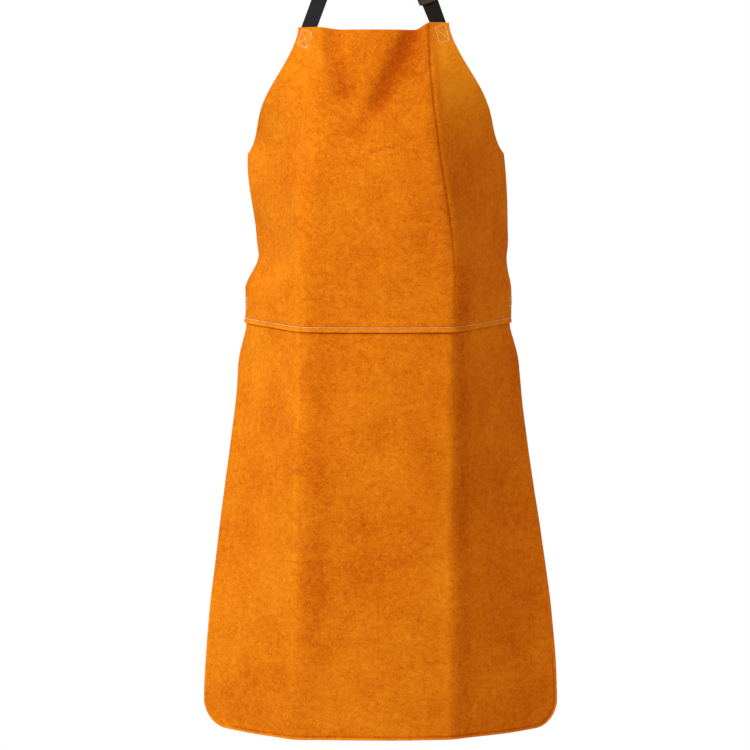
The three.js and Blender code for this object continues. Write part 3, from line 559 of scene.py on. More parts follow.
def hide_grid(drops, half_width, relief, inner, outer):
    """Facing grids of points over a panel of leather, with its place in the hide and the light and shade
    painted into its colour.
    """
    front, back, places, naps_and_painted_shade = [], [], [], []
    for drop in drops:
        cut = half_width(drop) + CUT_WANDER * noise.noise(Vector((drop / CUT_WANDER_LENGTH, 1.5, 0)))
        row = []
        for side in (-1, 1):
            reaches = np.array(reaches_out(side, drop, cut))
            height, nap = relief(side * reaches, drop)
            outer_row = hide_row(side, reaches, drop, outer + height)[0]
            inner_row = hide_row(side, reaches, drop, inner + height)[0]
            place = np.stack([side * reaches, 0 * reaches + drop, 0 * reaches], 1)
            order = slice(None, 0, -1) if side < 0 else slice(None)
            row.append([column[order] for column in (outer_row, inner_row, place, nap)])
        for store_in, left, right in zip((front, back, places, naps_and_painted_shade), *row):
            store_in.append(np.concatenate([left, right]))
    return [np.array(grid) for grid in (front, back, places, naps_and_painted_shade)]


def ring_of(rows, columns):
    """The border of a grid, once round."""
    top = [(0, j) for j in range(columns)]
    right = [(i, columns - 1) for i in range(1, rows)]
    bottom = [(rows - 1, j) for j in range(columns - 2, -1, -1)]
    left = [(i, 0) for i in range(rows - 2, 0, -1)]
    return top + right + bottom + left


def leather_panel(name, drops, half_width, relief, inner, outer):
    """A panel of hide: two faces with a softly rounded cut edge between them."""
    front, back, places, naps_and_painted_shade = hide_grid(drops, half_width, relief, inner, outer)
    rows, columns = naps_and_painted_shade.shape
    ring = ring_of(rows, columns)
    rim = []
    for i, j in ring:
        inside = (min(max(i, 1), rows - 2), min(max(j, 1), columns - 2))
        out = front[i, j] - front[inside]
        rim.append((front[i, j] + back[i, j]) / 2 + EDGE_ROUND * out / np.linalg.norm(out))
    count = rows * columns
    faces = []
    for i in range(rows - 1):
        for j in range(columns - 1):
            a = i * columns + j
            b, c, d = a + columns, a + columns + 1, a + 1
            faces += [(a, b, c, d), (count + a, count + d, count + c, count + b)]
    for k, (i, j) in enumerate(ring):
        n, m = ring[(k + 1) % len(ring)]
        here, there = 2 * count + k, 2 * count + (k + 1) % len(ring)
        faces += [(i * columns + j, n * columns + m, there, here)]
        faces += [(here, there, count + n * columns + m, count + i * columns + j)]
    points = np.concatenate([front.reshape(-1, 3), back.reshape(-1, 3), rim])
    piece = new_piece(name, points, faces, SUEDE)
    rim_of = lambda grid: np.array([grid[i, j] for i, j in ring])
    store(piece, "hide", np.concatenate([places.reshape(-1, 3)] * 2 + [rim_of(places)]), "FLOAT_VECTOR")
    # Painted light and shade for the front face, none for the back face, and the front border's values, a
    # little lighter, for the cut edge
    store(piece, "nap", np.concatenate([naps_and_painted_shade.ravel(), 0 * naps_and_painted_shade.ravel(), rim_of(naps_and_painted_shade) + EDGE_NAP]))
    store(piece, "flesh_side", np.repeat([0.0, 1.0, 0.5], [count, count, len(ring)]))
    return piece


def tube_faces(rings, sides):
    """The faces round a tube and over both its ends, for rings of points one after another."""
    last = (rings - 1) * sides
    faces = [tuple(range(sides))[::-1], tuple(range(last, last + sides))]
    for i in range(rings - 1):
        for k in range(sides):
            a, b = i * sides + k, i * sides + (k + 1) % sides
            faces.append((a, b, b + sides, a + sides))
    return faces


def capsule(along, out, side, centre, half_length, radius, dive):
    """One stitch: a short round thread whose ends turn down into the leather."""
    stops = [(-1, 0.25), (-0.86, 0.75), (-0.5, 1), (0, 1.05), (0.5, 1), (0.86, 0.75), (1, 0.25)]
    sides = 6
    points = []
    for share, thick in stops:
        middle = centre + along * (share * half_length) - out * (dive * abs(share) ** 3)
        for k in range(sides):
            angle = 2 * math.pi * k / sides
            points.append(middle + (out * math.cos(angle) + side * math.sin(angle)) * (radius * thick))
    return points, tube_faces(len(stops), sides)


class Stitches:
    """A run of stitches collected into one piece of thread."""

    def __init__(self, seed):
        self.points, self.faces, self.along, self.tone = [], [], [], []
        self.random = random.Random(seed)

    def add(self, start, end, out, radius=STITCH_RADIUS, dive=STITCH_DIVE):
        middle, half = (start + end) / 2, (end - start).length / 2
        along = (end - start).normalized()
        side = out.cross(along).normalized()
        points, faces = capsule(along, along.cross(side), side, middle, half, radius, dive)
        base = len(self.points)
        self.points += points
        self.faces += [tuple(base + i for i in face) for face in faces]
        self.along += [((p - middle).dot(along), 0, 0) for p in points]
        self.tone += [self.random.random()] * len(points)

    def sew(self, start, end, surface):
        """Even stitches in a straight line between two places of a surface."""
        count = max(1, round((end - start).length / STITCH_PITCH))
        aside = (end - start).orthogonal().normalized()
        for i in range(count):
            wander = aside * self.random.uniform(-STITCH_WANDER, STITCH_WANDER)
            a, b = (start.lerp(end, (i + share) / count) + wander for share in STITCH_SPAN)
            (p, out), (q, _) = surface(a), surface(b)
            self.add(p, q, out)

    def piece(self, name, node):
        """All the stitches as one piece of thread, in place of its exact solid."""
        thread = new_piece(name, self.points, self.faces, THREAD)
        store(thread, "along", self.along, "FLOAT_VECTOR")
        store(thread, "tone", self.tone)
        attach(thread, "apron")
        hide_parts(node)


def webbing_profile():
    """Half-round selvedges joined by flat faces, once round the webbing."""
    corner = WEBBING_THICKNESS / 2
    flat = WEBBING_WIDTH / 2 - corner
    profile = [(x, corner) for x in np.linspace(-flat, flat, 9)]
    arc = np.linspace(SELVEDGE_ARC, -SELVEDGE_ARC, 5)
    profile += [(flat + corner * math.cos(a), corner * math.sin(a)) for a in arc]
    profile += [(-x, -z) for x, z in profile]
    return profile


def neighbours(stations, i):
    """The points of the stations before and after this one."""
    return stations[max(0, i - 1)][0], stations[min(len(stations) - 1, i + 1)][0]


def band(name, stations):
    """Webbing along stations of a point and the direction across the band, closed at both ends."""
    profile = webbing_profile()
    points, weave = [], []
    travelled = 0
    for i, (point, across) in enumerate(stations):
        before, after = neighbours(stations, i)
        out = (after - before).cross(across).normalized()
        travelled += (point - before).length
        points += [point + across * x + out * z for x, z in profile]
        weave += [(travelled, x, z) for x, z in profile]
    faces = [face[::-1] for face in tube_faces(len(stations), len(profile))]
    piece = new_piece(name, points, faces, WEBBING)
    store(piece, "weave", weave, "FLOAT_VECTOR")
    return piece


def on_the_way(start, end, radius):
    """The place a radius on from the start, or half-way to the end if that is nearer."""
    return start + (end - start) * min(0.5, radius / (end - start).length)


def rounded_path(corners, radius):
    """A strap seen from its side, from corners (along, out), with the inner ones turned on a curve."""
    corners = [Vector((0, y, z)) for y, z in corners]
    path = [corners[0]]
    for before, corner, after in zip(corners, corners[1:], corners[2:]):
        start, end = on_the_way(corner, before, radius), on_the_way(corner, after, radius)
        for t in np.linspace(0, 1, ARC_STEPS + 1):
            path.append(start * (1 - t) ** 2 + corner * (2 * t * (1 - t)) + end * t * t)
    return path + [corners[-1]]


def bezier(a, b, c, d, steps):
    """Places on the curve from a to d that leaves towards b and arrives from c."""
    for t in np.linspace(0, 1, steps + 1):
        yield a * (1 - t) ** 3 + b * 3 * t * (1 - t) ** 2 + c * 3 * t * t * (1 - t) + d * t**3


# ---- Finishes: shader maths written as expressions


class Signal:
    """A node's output that is worked with like a number."""

    def __init__(self, finish, socket):
        self.finish = finish
        self.socket = socket

    def maths(self, operation, *values):
        return self.finish.node("ShaderNodeMath", {"operation": operation}, list(values))

    def __add__(self, other):
        return self.maths("ADD", self, other)

    def __sub__(self, other):
        return self.maths("SUBTRACT", self, other)

    def __mul__(self, other):
        return self.maths("MULTIPLY", self, other)

    def __truediv__(self, other):
        return self.maths("DIVIDE", self, other)

    def __rsub__(self, other):
        return self.maths("SUBTRACT", other, self)

    __radd__ = __add__
    __rmul__ = __mul__

    def clamped(self):
        return self.finish.node("ShaderNodeClamp", {}, {"Value": self})

    def wave(self, length):
        """A sine that comes round once in every given length."""
        return self.maths("SINE", self * (2 * math.pi / length))

    def zigzag(self, width):
        """Up and down between 0 and 1, over the given width each way."""
        return self.maths("PINGPONG", self / width, 1.0)


class Finish:
    """A node tree under way: any node comes from node(), and surface() ends it."""

    def __init__(self, owner):
        self.owner = owner
        owner.use_nodes = True
        self.tree = owner.node_tree
        self.tree.nodes.clear()

    def node(self, kind, settings, values, output=0):
        """Adds a node: its settings first, then the numbers or links of its sockets, by name or in order."""
        made = self.tree.nodes.new(kind)
        for name, value in settings.items():
            if name == "stops":
                self.set_stops(made.color_ramp, value)
            else:
                setattr(made, name, value)
        pairs = values.items() if isinstance(values, dict) else enumerate(values)
        for key, value in pairs:
            if isinstance(value, Signal):
                self.tree.links.new(value.socket, made.inputs[key])
            else:
                made.inputs[key].default_value = value
        return Signal(self, made.outputs[output]) if made.outputs else None

    @staticmethod
    def set_stops(ramp, stops):
        while len(ramp.elements) < len(stops):
            ramp.elements.new(0.5)
        for element, (position, shade) in zip(ramp.elements, stops):
            element.position = position
            element.color = (*shade, 1)

    def kept(self, name, output="Fac"):
        return self.node("ShaderNodeAttribute", {"attribute_name": name}, {}, output)

    def noise(self, place, scale, detail=2, roughness=0.5, distortion=0):
        values = {"Vector": place, "Scale": scale, "Detail": detail, "Roughness": roughness}
        return self.node("ShaderNodeTexNoise", {}, values | {"Distortion": distortion})

    def ramp(self, value, *stops):
        return self.node("ShaderNodeValToRGB", {"stops": stops}, {"Fac": value})

    def blended(self, share, first, second):
        return self.node("ShaderNodeMix", {"data_type": "RGBA"}, {0: share, 6: first, 7: second}, 2)

    def parts_of(self, vector):
        return [self.node("ShaderNodeSeparateXYZ", {}, [vector], i) for i in range(3)]

    def raised(self, height, distance, strength=1.0):
        return self.node("ShaderNodeBump", {}, {"Height": height, "Distance": distance, "Strength": strength})

    def paint(self, **values):
        """Sets the shader's sockets by name."""
        sockets = {name.replace("_", " "): value for name, value in values.items()}
        return self.surface(self.node("ShaderNodeBsdfPrincipled", {}, sockets))

    def surface(self, shader, kind="ShaderNodeOutputMaterial"):
        self.node(kind, {}, {"Surface": shader})
        return self.owner


def new_finish(name):
    return Finish(bpy.data.materials.new(name))


def colour(red, green, blue):
    return (red, green, blue, 1)


def suede_finish():
    """Napped split leather: brushed patches, short curled fibres, painted shade in folds, grooves and hollows
    with painted highlights on their pale sides, and a paler flesh side.
    """
    f = new_finish("split_leather")
    place = f.kept("hide", "Vector")
    nap, flesh = f.kept("nap"), f.kept("flesh_side")
    clouds = f.noise(place, 7, distortion=0.4)
    patches = f.noise(place, 24, detail=4, roughness=0.6, distortion=0.8)
    flecks = f.noise(place, 110, detail=3, roughness=0.6, distortion=0.5)
    fibres = f.noise(place, 420, detail=3, roughness=0.65, distortion=2.2)
    brushed = (clouds - 0.5) * 0.5 + (patches - 0.5) * 0.35 + (flecks - 0.5) * 0.55 + (fibres - 0.5) * 1.7
    # The relief's painted light and shade lighten and darken the random tone of the napped face
    tone = (0.5 + brushed - nap * 0.34).clamped()
    outer = f.ramp(
        tone,
        (0.0, (0.40, 0.058, 0.0010)),
        (0.3, (0.58, 0.124, 0.0025)),
        (0.5, (0.72, 0.188, 0.004)),
        (0.75, (0.84, 0.265, 0.008)),
        (1.0, (0.95, 0.36, 0.016)),
    )
    inner = f.ramp(tone, (0.0, (0.40, 0.12, 0.015)), (0.5, (0.62, 0.24, 0.045)), (1.0, (0.80, 0.38, 0.11)))
    height = fibres * 0.6 + flecks * 0.5 + patches * 0.4
    return f.paint(
        Base_Color=f.blended(flesh, outer, inner),
        Roughness=0.86 + fibres * 0.1,
        Normal=f.raised(height, 0.9 * MM, strength=0.75),
        Specular_IOR_Level=0.04,
        Sheen_Weight=0.05,
        Sheen_Roughness=0.5,
        Sheen_Tint=colour(1.0, 0.5, 0.1),
    )


def thread_finish():
    """Cream sewing thread of two twisted plies, each stitch a little lighter or darker."""
    f = new_finish("cream_thread")
    twist = f.parts_of(f.kept("along", "Vector"))[0].wave(THREAD_TWIST)
    # The twist lightens the plies' crowns and darkens the grooves between them as painted highlight and
    # shade; each stitch's own tone is random
    tone = (f.kept("tone") * 0.5 + twist * 0.18 + 0.3).clamped()
    cream = f.ramp(tone, (0.0, (0.66, 0.44, 0.17)), (0.5, (0.86, 0.67, 0.36)), (1.0, (0.97, 0.84, 0.58)))
    return f.paint(Base_Color=cream, Roughness=0.62, Normal=f.raised(twist, 0.12 * MM), Sheen_Weight=0.15)


def webbing_finish():
    """Black herringbone webbing with plain selvedges and random patches of dust, with painted highlight on
    the weave's raised ribs and painted shade in its hollows.
    """
    f = new_finish("black_webbing")
    place = f.kept("weave", "Vector")
    along, across, _ = f.parts_of(place)
    slanting = along + across.zigzag(HERRINGBONE_WIDTH) * HERRINGBONE_RISE
    ribs = slanting.wave(RIB_PITCH)
    warp = across.wave(WARP_PITCH)
    fuzz = f.noise(place, 900, roughness=0.6)
    worn = f.noise(place, 30, detail=3, roughness=0.6)
    height = ribs * 0.5 + warp * 0.25 + fuzz * 0.35
    # The ribs and warp lighten the raised yarn and darken the hollows as painted highlight and shade; the
    # fuzz and worn patches are random dust
    tone = (0.42 + ribs * 0.16 + warp * 0.08 + (fuzz - 0.5) * 0.5 + (worn - 0.5) * 0.4).clamped()
    dark, middle, dust_and_highlight = (0.004, 0.004, 0.005), (0.012, 0.011, 0.012), (0.045, 0.042, 0.042)
    black = f.ramp(tone, (0.0, dark), (0.55, middle), (1.0, dust_and_highlight))
    return f.paint(
        Base_Color=black,
        Roughness=0.68 + fuzz * 0.2,
        Normal=f.raised(height, 0.3 * MM, strength=0.8),
        Specular_IOR_Level=0.2,
        Sheen_Weight=0.03,
    )


def plastic_finish():
    """Black moulded plastic, semi-gloss, with a fine grain and the light scuffs of use."""
    f = new_finish("black_plastic")
    place = f.node("ShaderNodeTexCoord", {}, {}, "Object")
    grain = f.noise(place, 1600)
    cloud = f.noise(place, 90, detail=3, roughness=0.6)
    drawn_out = f.node("ShaderNodeVectorMath", {"operation": "MULTIPLY"}, [place, (1400, 240, 240)])
    scuffs = f.noise(drawn_out, 1.0, detail=3, roughness=0.7)
    scuffed = ((scuffs - 0.62) * 6).clamped()
    black = f.ramp(scuffed * 0.5 + cloud * 0.3, (0.0, (0.006, 0.006, 0.007)), (1.0, (0.030, 0.029, 0.030)))
    return f.paint(
        Base_Color=black,
        Roughness=0.26 + cloud * 0.12 + scuffed * 0.2,
        Normal=f.raised(grain * 0.6 + scuffed * 0.4, 0.04 * MM, strength=0.5),
        Specular_IOR_Level=0.5,
    )


SUEDE = suede_finish()
THREAD = thread_finish()
WEBBING = webbing_finish()
PLASTIC = plastic_finish()


# ---- Leather

TOP_FINE = 4 * MM
LAP_FINE = 6 * MM
SEAM_FINE = 8 * MM


def bib():
    armhole = (ARMHOLE_DROP, 56)
    drops = spaced(0, (TOP_FINE, 4), armhole, (SKIRT_TOP - LAP_FINE, 66), (BIB_HEIGHT, 22))
    piece = leather_panel("bib_leather", drops, bib_half_width, bib_relief, BIB_INNER, BIB_OUTER)
    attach(piece, "apron")
    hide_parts("bib_panel")
    rows = np.linspace(0, BIB_HEIGHT, 400)
    area = float(2 * bib_half_width(rows).mean() * BIB_HEIGHT)


def skirt():
    corner = APRON_LENGTH - HEM_CORNER_RADIUS
    turning = [corner + HEM_CORNER_RADIUS * math.sin(a) for a in np.linspace(0, math.pi / 2, 30)[1:]]
    drops = spaced(SKIRT_TOP, (BIB_HEIGHT + SEAM_FINE, 12), (corner, 150)) + turning
    piece = leather_panel("skirt_leather", drops, skirt_half_width, skirt_relief, 0, LEATHER_THICKNESS)
    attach(piece, "apron")
    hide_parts("skirt_panel")


# ---- Sewing


def face_of(relief, lift, inward=False):
    """A surface that stitches lie on: a place in the hide gives a point and the way out of the surface."""

    def surface(place):
        height = float(relief(np.array([place.x]), place.y)[0][0])
        point, out, _ = on_hide(place.x, place.y, lift + height)
        return point, -out if inward else out

    return surface


BIB_FACE = face_of(bib_relief, BIB_OUTER + STITCH_PROUD)
SKIRT_BACK = face_of(skirt_relief, -STITCH_PROUD, inward=True)


def waist_seam():
    """The row of stitches that joins bib and skirt, seen from both sides."""
    sewing = Stitches(seed=11)
    reach = HALF_WIDTH - SEAM_STITCH_INSET
    for surface in (BIB_FACE, SKIRT_BACK):
        sewing.sew(Vector((-reach, SEAM_DROP)), Vector((0, SEAM_DROP)), surface)
        sewing.sew(Vector((0, SEAM_DROP)), Vector((reach, SEAM_DROP)), surface)
    sewing.piece("waist_seam_thread", "waist_seam_stitching")


def box_stitching(stem, centre, lean, size, diagonals, behind):
    """A box of stitches with its diagonals, turned with the strap that it holds, and the same on its back."""
    turn = Matrix.Rotation(lean, 2)
    corner = lambda x, y: centre + turn @ Vector((x * size[0] / 2, y * size[1] / 2))
    corners = [corner(-1, -1), corner(1, -1), corner(1, 1), corner(-1, 1)]
    name = f"{stem}_box_thread"
    sewing = Stitches(seed=sum(ord(letter) for letter in name))
    for surface in (BIB_FACE, face_of(bib_relief, behind - STITCH_PROUD, inward=True)):
        for a, b in [(0, 1), (1, 2), (2, 3), (3, 0), *diagonals]:
            sewing.sew(corners[a], corners[b], surface)
    sewing.piece(name, f"{stem}_box_stitching")


def box_stitchings():
    """The boxes that hold the neck straps at the bib's corners and the waist straps at its sides."""
    both = [(0, 2), (1, 3)]
    one = both[:1]
    behind_one = SEWN_LAYER - WEBBING_THICKNESS / 2
    behind_two = SECOND_LAYER - WEBBING_THICKNESS / 2
    neck = (BOX_STITCH_WIDTH, BOX_STITCH_HEIGHT)
    inward = math.tan(STRAP_LEAN * DEGREE) * BOX_STITCH_DROP
    for side, word, diagonals, behind in ((-1, "left", both, behind_one), (1, "right", one, behind_two)):
        centre = Vector((side * (STRAP_ACROSS + inward), BOX_STITCH_DROP))
        box_stitching(f"bib_{word}", centre, -side * STRAP_LEAN * DEGREE, neck, diagonals, behind)
    for side, word in ((-1, "left"), (1, "right")):
        centre = Vector((side * (HALF_WIDTH - WAIST_STITCH_INSET), WAIST_STRAP_DROP))
        box_stitching(f"waist_{word}", centre, 0, neck[::-1], both, behind_one)


# ---- Straps


def strap_frame(side):
    """Where a strap leaves the bib's top edge: y up the strap, z outward."""
    point, normal, along = on_hide(side * STRAP_ACROSS, 0, 0)
    lean = STRAP_LEAN * DEGREE
    up = (normal.cross(along) * math.cos(lean) - along * side * math.sin(lean)).normalized()
    across = up.cross(normal)
    made = Matrix((across, up, normal)).transposed().to_4x4()
    made.translation = point
    return made


def neck_buckle_frame():
    return strap_frame(1) @ Matrix.Translation((0, BUCKLE_ABOVE_BIB, 0))


WAIST_EDGE_DEPTH = on_hide(HALF_WIDTH, WAIST_STRAP_DROP, 0)[0].y


def waist_buckle_frame():
    made = Matrix(((0, 0, -1), (-1, 0, 0), (0, 1, 0))).transposed().to_4x4()
    middle = WAIST_SWAY + (SOCKET_LENGTH + TONGUE_LENGTH) / 2
    made.translation = (middle, WAIST_EDGE_DEPTH + BACK_DEPTH, -WAIST_STRAP_DROP - ROW_ORIGIN.z)
    return made


def threaded_run(buckle):
    """The strap's last stretch: in along the back, over the ladder bar and out under the end bar."""
    middle = SOCKET_LENGTH + LADDER_BLOCK + WEB_SLOT + LADDER_BAR / 2
    legs = (LADDER_BAR + WEB_SLOT) / 2
    over = LADDER_BAR_TOP + BAR_TURN
    corners = [
        (SOCKET_LENGTH + RUN_END, LOAD_LAYER),
        (middle - legs, LOAD_LAYER),
        (middle - legs, over),
        (middle + legs, over),
        (middle + legs, TAIL_LAYER),
        (SOCKET_LENGTH + TAIL_END, TAIL_LAYER),
    ]
    across = buckle.col[0].to_3d()
    return [(buckle @ point, across) for point in rounded_path(corners, THREADED_RADIUS)]


def over_shoulder(side, start_at, layer, steps):
    """From a bib corner over the shoulder to the nape, as points with the way out of the strap's face."""
    corner = strap_frame(side)
    at = lambda y: corner @ Vector((0, y, layer))
    on_side = lambda v: Vector((side * v.x, v.y, v.z))
    top = on_side(SHOULDER_PLACE - ROW_ORIGIN)
    nape = on_side(Vector((NAPE_FLAT / 2, NAPE.y, NAPE.z)) - ROW_ORIGIN)
    near_nape = nape + on_side(Vector((NAPE_PULL, 0, 0)))
    before_top = top - SHOULDER_SLOPE * SHOULDER_LEAD
    after_top = top + SHOULDER_SLOPE * SHOULDER_RUN_OUT
    climb = list(bezier(at(start_at + STRAIGHT_LEAD), at(SHOULDER_REACH), before_top, top, steps))
    descent = list(bezier(top, after_top, near_nape, nape, steps))
    chest = corner.col[2].to_3d()
    facing = bezier(chest, on_side(FACE_CLIMBING), on_side(FACE_DESCENDING), FACE_NAPE, 2 * steps)
    stations = [(at(start_at), chest)]
    stations += [(point, out.normalized()) for point, out in zip(climb + descent[1:], facing)]
    return stations


def faced(stations):
    """Stations of a point and the band's outward face, as points and the direction across the band."""
    turned = []
    for i, (point, out) in enumerate(stations):
        before, after = neighbours(stations, i)
        turned.append((point, out.cross(after - before).normalized()))
    return turned


def neck_strap():
    """One strap from the bib's left corner, round the nape and down to the buckle's tongue."""
    corner = strap_frame(-1)
    out = corner.col[2].to_3d()
    places = spaced(-SEWN_LENGTH, (LEFT_STRAIGHT - MM, 14))
    sewn = [(corner @ Vector((0, y, SEWN_LAYER)), out) for y in places]
    left = over_shoulder(-1, LEFT_STRAIGHT, SEWN_LAYER, 30)
    run_end = BUCKLE_ABOVE_BIB + SOCKET_LENGTH + RUN_END + GAP
    right = over_shoulder(1, run_end, LOAD_LAYER, 26)[::-1]
    stations = faced(sewn + left + right) + threaded_run(neck_buckle_frame())[1:]
    strap = band("neck_webbing", stations)
    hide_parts("neck_strap", "neck_strap_adjusting_run")
    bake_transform(strap)


def short_neck_strap():
    """Doubled round the socket's bar, with both ends sewn behind the bib's right corner."""
    turn = WEB_BAR_HALF + BAR_TURN
    fold = BUCKLE_ABOVE_BIB + WEB_BAR_END + BAR_TURN
    over, under = WEB_BAR_MIDDLE + turn, WEB_BAR_MIDDLE - turn
    corners = [
        (-SEWN_LENGTH, SEWN_LAYER),
        (SEWN_EXIT, SEWN_LAYER),
        (BUCKLE_ABOVE_BIB, over),
        (fold, over),
        (fold, under),
        (BUCKLE_ABOVE_BIB, under),
        (SEWN_EXIT, SECOND_LAYER),
        (-SEWN_LENGTH, SECOND_LAYER),
    ]
    corner = strap_frame(1)
    across = corner.col[0].to_3d() * -1
    path = rounded_path(corners, FOLD_RADIUS)
    strap = band("neck_buckle_loop", [(corner @ p, across) for p in path])
    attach(strap, "apron")
    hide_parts("neck_strap_short")


def round_the_waist(side, back_point):
    """From where the strap is sewn behind the side edge to where it runs straight across the back."""
    reaches = spaced(HALF_WIDTH - SEWN_LENGTH, (HALF_WIDTH, 12))
    sewn = [on_hide(side * reach, WAIST_STRAP_DROP, SEWN_LAYER)[0] for reach in reaches]
    edge, _, across = on_hide(side * HALF_WIDTH, WAIST_STRAP_DROP, SEWN_LAYER)
    pull = across * side * SIDE_PULL
    level = Vector((back_point.x, back_point.y, edge.z))
    arrive = level + Vector((side * BACK_PULL, 0, 0))
    return sewn[:-1] + list(bezier(edge, edge + pull, arrive, level, 60))


def waist_strap():
    """From the left side edge round the back, and through the tongue."""
    buckle = waist_buckle_frame()
    joined = buckle @ Vector((0, SOCKET_LENGTH + RUN_END + GAP, LOAD_LAYER))
    across = Vector((0, 0, -1))
    stations = [(point, across) for point in round_the_waist(-1, joined)] + threaded_run(buckle)[1:]
    strap = band("waist_webbing", stations)
    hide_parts("waist_strap", "waist_strap_adjusting_run")
    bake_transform(strap)


def short_waist_strap():
    """From the right side edge to the socket's bar, turned round it and tacked to itself."""
    buckle = waist_buckle_frame()
    turn = WEB_BAR_HALF + BAR_TURN
    fold = WEB_BAR_END + BAR_TURN
    inner = WEB_BAR_MIDDLE - turn
    doubled = inner + WEBBING_THICKNESS + GAP
    corners = [
        (-LOOP_PARTS_BACK, inner),
        (fold, inner),
        (fold, WEB_BAR_MIDDLE + turn),
        (-LOOP_OPENS_BACK, WEB_BAR_MIDDLE + turn),
        (-LOOP_CLOSES_BACK, doubled),
        (-BARTACK_BACK, doubled),
    ]
    loop = [buckle @ p for p in rounded_path(corners, FOLD_RADIUS)]
    path = round_the_waist(1, buckle @ Vector((0, -BARTACK_BACK - BARTACK_LEAD, inner))) + loop
    strap = band("waist_buckle_loop", [(p, Vector((0, 0, 1))) for p in path])
    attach(strap, "apron")
    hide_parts("waist_strap_short")


def bartack():
    """Close zigzag stitches in a closed oblong, that hold the short waist strap's fold."""
    buckle = waist_buckle_frame()
    doubled = WEB_BAR_MIDDLE - WEB_BAR_HALF - BAR_TURN + 1.5 * WEBBING_THICKNESS + GAP
    out = buckle.col[2].to_3d()
    at = lambda x, y: buckle @ Vector((x, y, doubled + BARTACK_PROUD))
    sewing = Stitches(seed=29)

    def zigzag(place, first, last):
        for i, mark in enumerate(np.arange(first, last - BARTACK_PITCH, BARTACK_PITCH)):
            low, high = (0, BARTACK_WIDE) if i % 2 else (BARTACK_WIDE, 0)
            ends = place(mark, low), place(mark + BARTACK_PITCH, high)
            sewing.add(*ends, out, BARTACK_THREAD, BARTACK_DIVE)

    half = WEBBING_WIDTH / 2 - BARTACK_INSET
    start, end = BARTACK_INSET - BARTACK_BACK, BARTACK_LENGTH - BARTACK_BACK
    for bar in (start, end):
        zigzag(lambda x, aside: at(x, bar + aside), -half, half)
    for row in (-half, half - BARTACK_WIDE):
        zigzag(lambda y, aside: at(row + aside, y), start + BARTACK_WIDE, end)
    sewing.piece("waist_bartack_thread", "waist_strap_bartack")


# ---- Buckles


def rib(bm, start, end, radius):
    """A low round-ended rib along a line."""
    axis = (end - start).normalized()
    side = axis.orthogonal().normalized()
    up = axis.cross(side)
    tip = ((-1, 0.35), (-0.6, 0.85), (0, 1))
    rings = [(start + axis * radius * share, thick) for share, thick in tip]
    rings += [(end - axis * radius * share, thick) for share, thick in tip[::-1]]
    angles = [2 * math.pi * k / GRIP_SIDES for k in range(GRIP_SIDES)]
    spokes = [side * math.cos(a) + up * math.sin(a) for a in angles]
    points = [bm.verts.new(middle + spoke * radius * thick) for middle, thick in rings for spoke in spokes]
    for face in tube_faces(len(rings), GRIP_SIDES):
        bm.faces.new([points[i] for i in face])


def moulded(name, node, body, radius, ribs):
    """A buckle part from its exact solid, with the rounded corners of moulded plastic and its grip ribs."""
    bm = bmesh.new()
    bm.from_mesh(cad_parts[node].data)
    bmesh.ops.remove_doubles(bm, verts=bm.verts, dist=WELD)
    bmesh.ops.dissolve_limit(bm, angle_limit=FLAT_WITHIN * DEGREE, verts=bm.verts, edges=bm.edges)
    mesh = bpy.data.meshes.new(name)
    bm.to_mesh(mesh)
    bm.free()
    piece = placed(bpy.data.objects.new(name, mesh), PLASTIC)
    rounding = piece.modifiers.new("rounding", "BEVEL")
    rounding.width = radius
    rounding.segments = 3
    rounding.limit_method = "ANGLE"
    rounding.angle_limit = ROUNDED_FROM * DEGREE
    rounding.miter_outer = "MITER_ARC"
    bpy.context.view_layer.update()
    final = bpy.data.meshes.new_from_object(piece.evaluated_get(bpy.context.evaluated_depsgraph_get()))
    piece.modifiers.clear()
    piece.data = final
    bm = bmesh.new()
    bm.from_mesh(final)
    for start, end, thick in ribs:
        rib(bm, start, end, thick)
    bmesh.ops.recalc_face_normals(bm, faces=bm.faces)
    bm.to_mesh(final)
    bm.free()
    final.shade_smooth()
    final.set_sharp_from_angle(angle=SHARP_FROM * DEGREE)
    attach(piece, body)
    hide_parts(node)


def buckle(word, place):
    """A side-release buckle: socket, tongue and two prongs, each with its grip ribs."""
    at = lambda x, y, z: place @ Vector((x, y, z))
    cheek = (WEBBING_WIDTH + BUCKLE_CHEEK) / 2 + SLOT_SPARE
    tongue_ribs, socket_ribs = [], []
    for k in range(GRIP_RIBS):
        y = SOCKET_LENGTH + TONGUE_LENGTH - (k + 1) * TONGUE_RIB_PITCH
        ends = [at(x, y, TONGUE_HALF_HEIGHT) for x in (-TONGUE_RIB_HALF, TONGUE_RIB_HALF)]
        tongue_ribs.append((*ends, TONGUE_RIB))
        y = SOCKET_RIB_FROM + k * SOCKET_RIB_PITCH
        for side in (-1, 1):
            insets = (SOCKET_RIB_INNER, SOCKET_RIB_OUTER)
            ends = [at(side * (cheek - inset), y, SOCKET_RIB_LIFT) for inset in insets]
            socket_ribs.append((*ends, SOCKET_RIB))
    moulded(f"{word}_socket", f"{word}_buckle_socket", "apron", SOCKET_ROUNDING, socket_ribs)
    moulded(f"{word}_tongue", f"{word}_buckle_tongue", f"{word}_tongue", TONGUE_ROUNDING, tongue_ribs)
    half = PRONG_HALF - PRONG_RIB_INSET
    for side, name in ((-1, "left"), (1, "right")):
        x = side * (PRONG_ROOT + PRONG_SHOULDER)
        prong_ribs = []
        for k in range(GRIP_RIBS):
            y = SOCKET_LENGTH - SHOULDER_TOP - PRONG_RIB_INSET - k * PRONG_RIB_PITCH
            prong_ribs.append((at(x, y, -half), at(x, y, half), PRONG_RIB))
        stem = f"{word}_{name}_prong"
        moulded(f"{stem}_arm", f"{word}_buckle_{name}_prong", stem, PRONG_ROUNDING, prong_ribs)


# ---- Studio

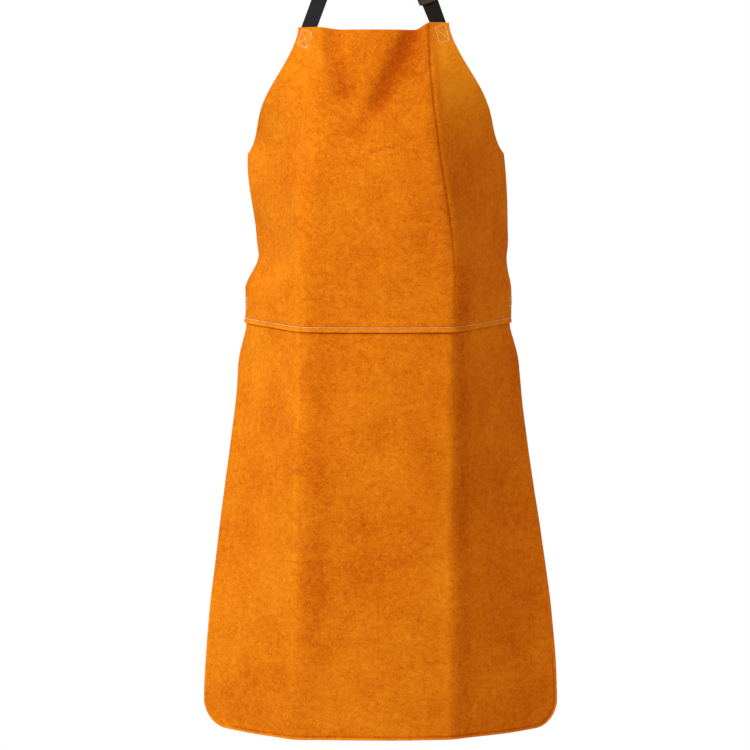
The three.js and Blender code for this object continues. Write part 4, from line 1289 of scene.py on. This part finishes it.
FLOOR_BELOW = 0.35
FLOOR_REACH = 0.85
FLOOR_FADE = 0.25
CAMERA_PLACE = (0.002, -3.195, -0.240)
CAMERA_DIP = 7.2
CAMERA_LENS = 97.06


def floor():
    """A pale floor that fades out into the white surround."""
    f = new_finish("pale_floor")
    place = f.node("ShaderNodeTexCoord", {}, {}, "Object")
    distance = f.node("ShaderNodeVectorMath", {"operation": "LENGTH"}, [place], "Value")
    settings = {"interpolation_type": "SMOOTHSTEP"}
    values = {"Value": distance, "From Min": FLOOR_FADE, "From Max": FLOOR_REACH}
    fade = f.node("ShaderNodeMapRange", settings, values)
    tone = f.ramp(f.noise(place, 14, detail=3), (0.0, (0.80, 0.80, 0.79)), (1.0, (0.86, 0.86, 0.85)))
    matte = f.node("ShaderNodeBsdfDiffuse", {}, {"Color": tone})
    clear = f.node("ShaderNodeBsdfTransparent", {}, {})
    bpy.ops.mesh.primitive_circle_add(vertices=96, radius=FLOOR_REACH, fill_type="NGON")
    ground = bpy.context.object
    ground.name = "floor"
    ground.location.z = cad_box[0][2] - FLOOR_BELOW
    ground.data.materials.append(f.surface(f.node("ShaderNodeMixShader", {}, [fade, matte, clear])))


def surround():
    """A white surround that lights the object with a softer, warmer white."""
    f = Finish(bpy.data.worlds.new("studio"))
    seen = f.node("ShaderNodeLightPath", {}, {}, "Is Camera Ray")
    white = f.node("ShaderNodeBackground", {}, {"Color": colour(1, 1, 1)})
    glow = f.node("ShaderNodeBackground", {}, {"Color": colour(1.0, 0.95, 0.90), "Strength": 0.40})
    chosen = f.node("ShaderNodeMixShader", {}, [seen, glow, white])
    bpy.context.scene.world = f.surface(chosen, "ShaderNodeOutputWorld")


def lamp(name, place, aim, size, power, tint=(1, 1, 1)):
    """A square soft lamp turned to its aim."""
    light = bpy.data.lights.new(name, "AREA")
    light.size = size
    light.energy = power
    light.color = tint
    stand = bpy.data.objects.new(name, light)
    stand.location = place
    stand.rotation_euler = (Vector(aim) - Vector(place)).to_track_quat("-Z", "Y").to_euler()
    bpy.context.scene.collection.objects.link(stand)


def camera():
    data = bpy.data.cameras.new("camera")
    data.lens = CAMERA_LENS
    eye = bpy.data.objects.new("camera", data)
    eye.location = CAMERA_PLACE
    eye.rotation_euler = ((90 - CAMERA_DIP) * DEGREE, 0, 0)
    bpy.context.scene.collection.objects.link(eye)
    bpy.context.scene.camera = eye


camera()
surround()
floor()
lamp("key", (-2.8, -2.5, 1.3), (0, -0.1, -0.55), size=1.5, power=160)
lamp("fill", (2.6, -2.2, 0.2), (0, -0.1, -0.6), size=2.2, power=27, tint=(1.0, 0.52, 0.18))
lamp("back", (0.6, 2.8, 1.6), (0, 0, -0.4), size=1.8, power=45)
bpy.context.scene.view_settings.view_transform = "Standard"

neck_strap()
short_neck_strap()
bib()
skirt()
waist_seam()
box_stitchings()
waist_strap()
short_waist_strap()
bartack()
buckle("neck", neck_buckle_frame())
buckle("waist", waist_buckle_frame())
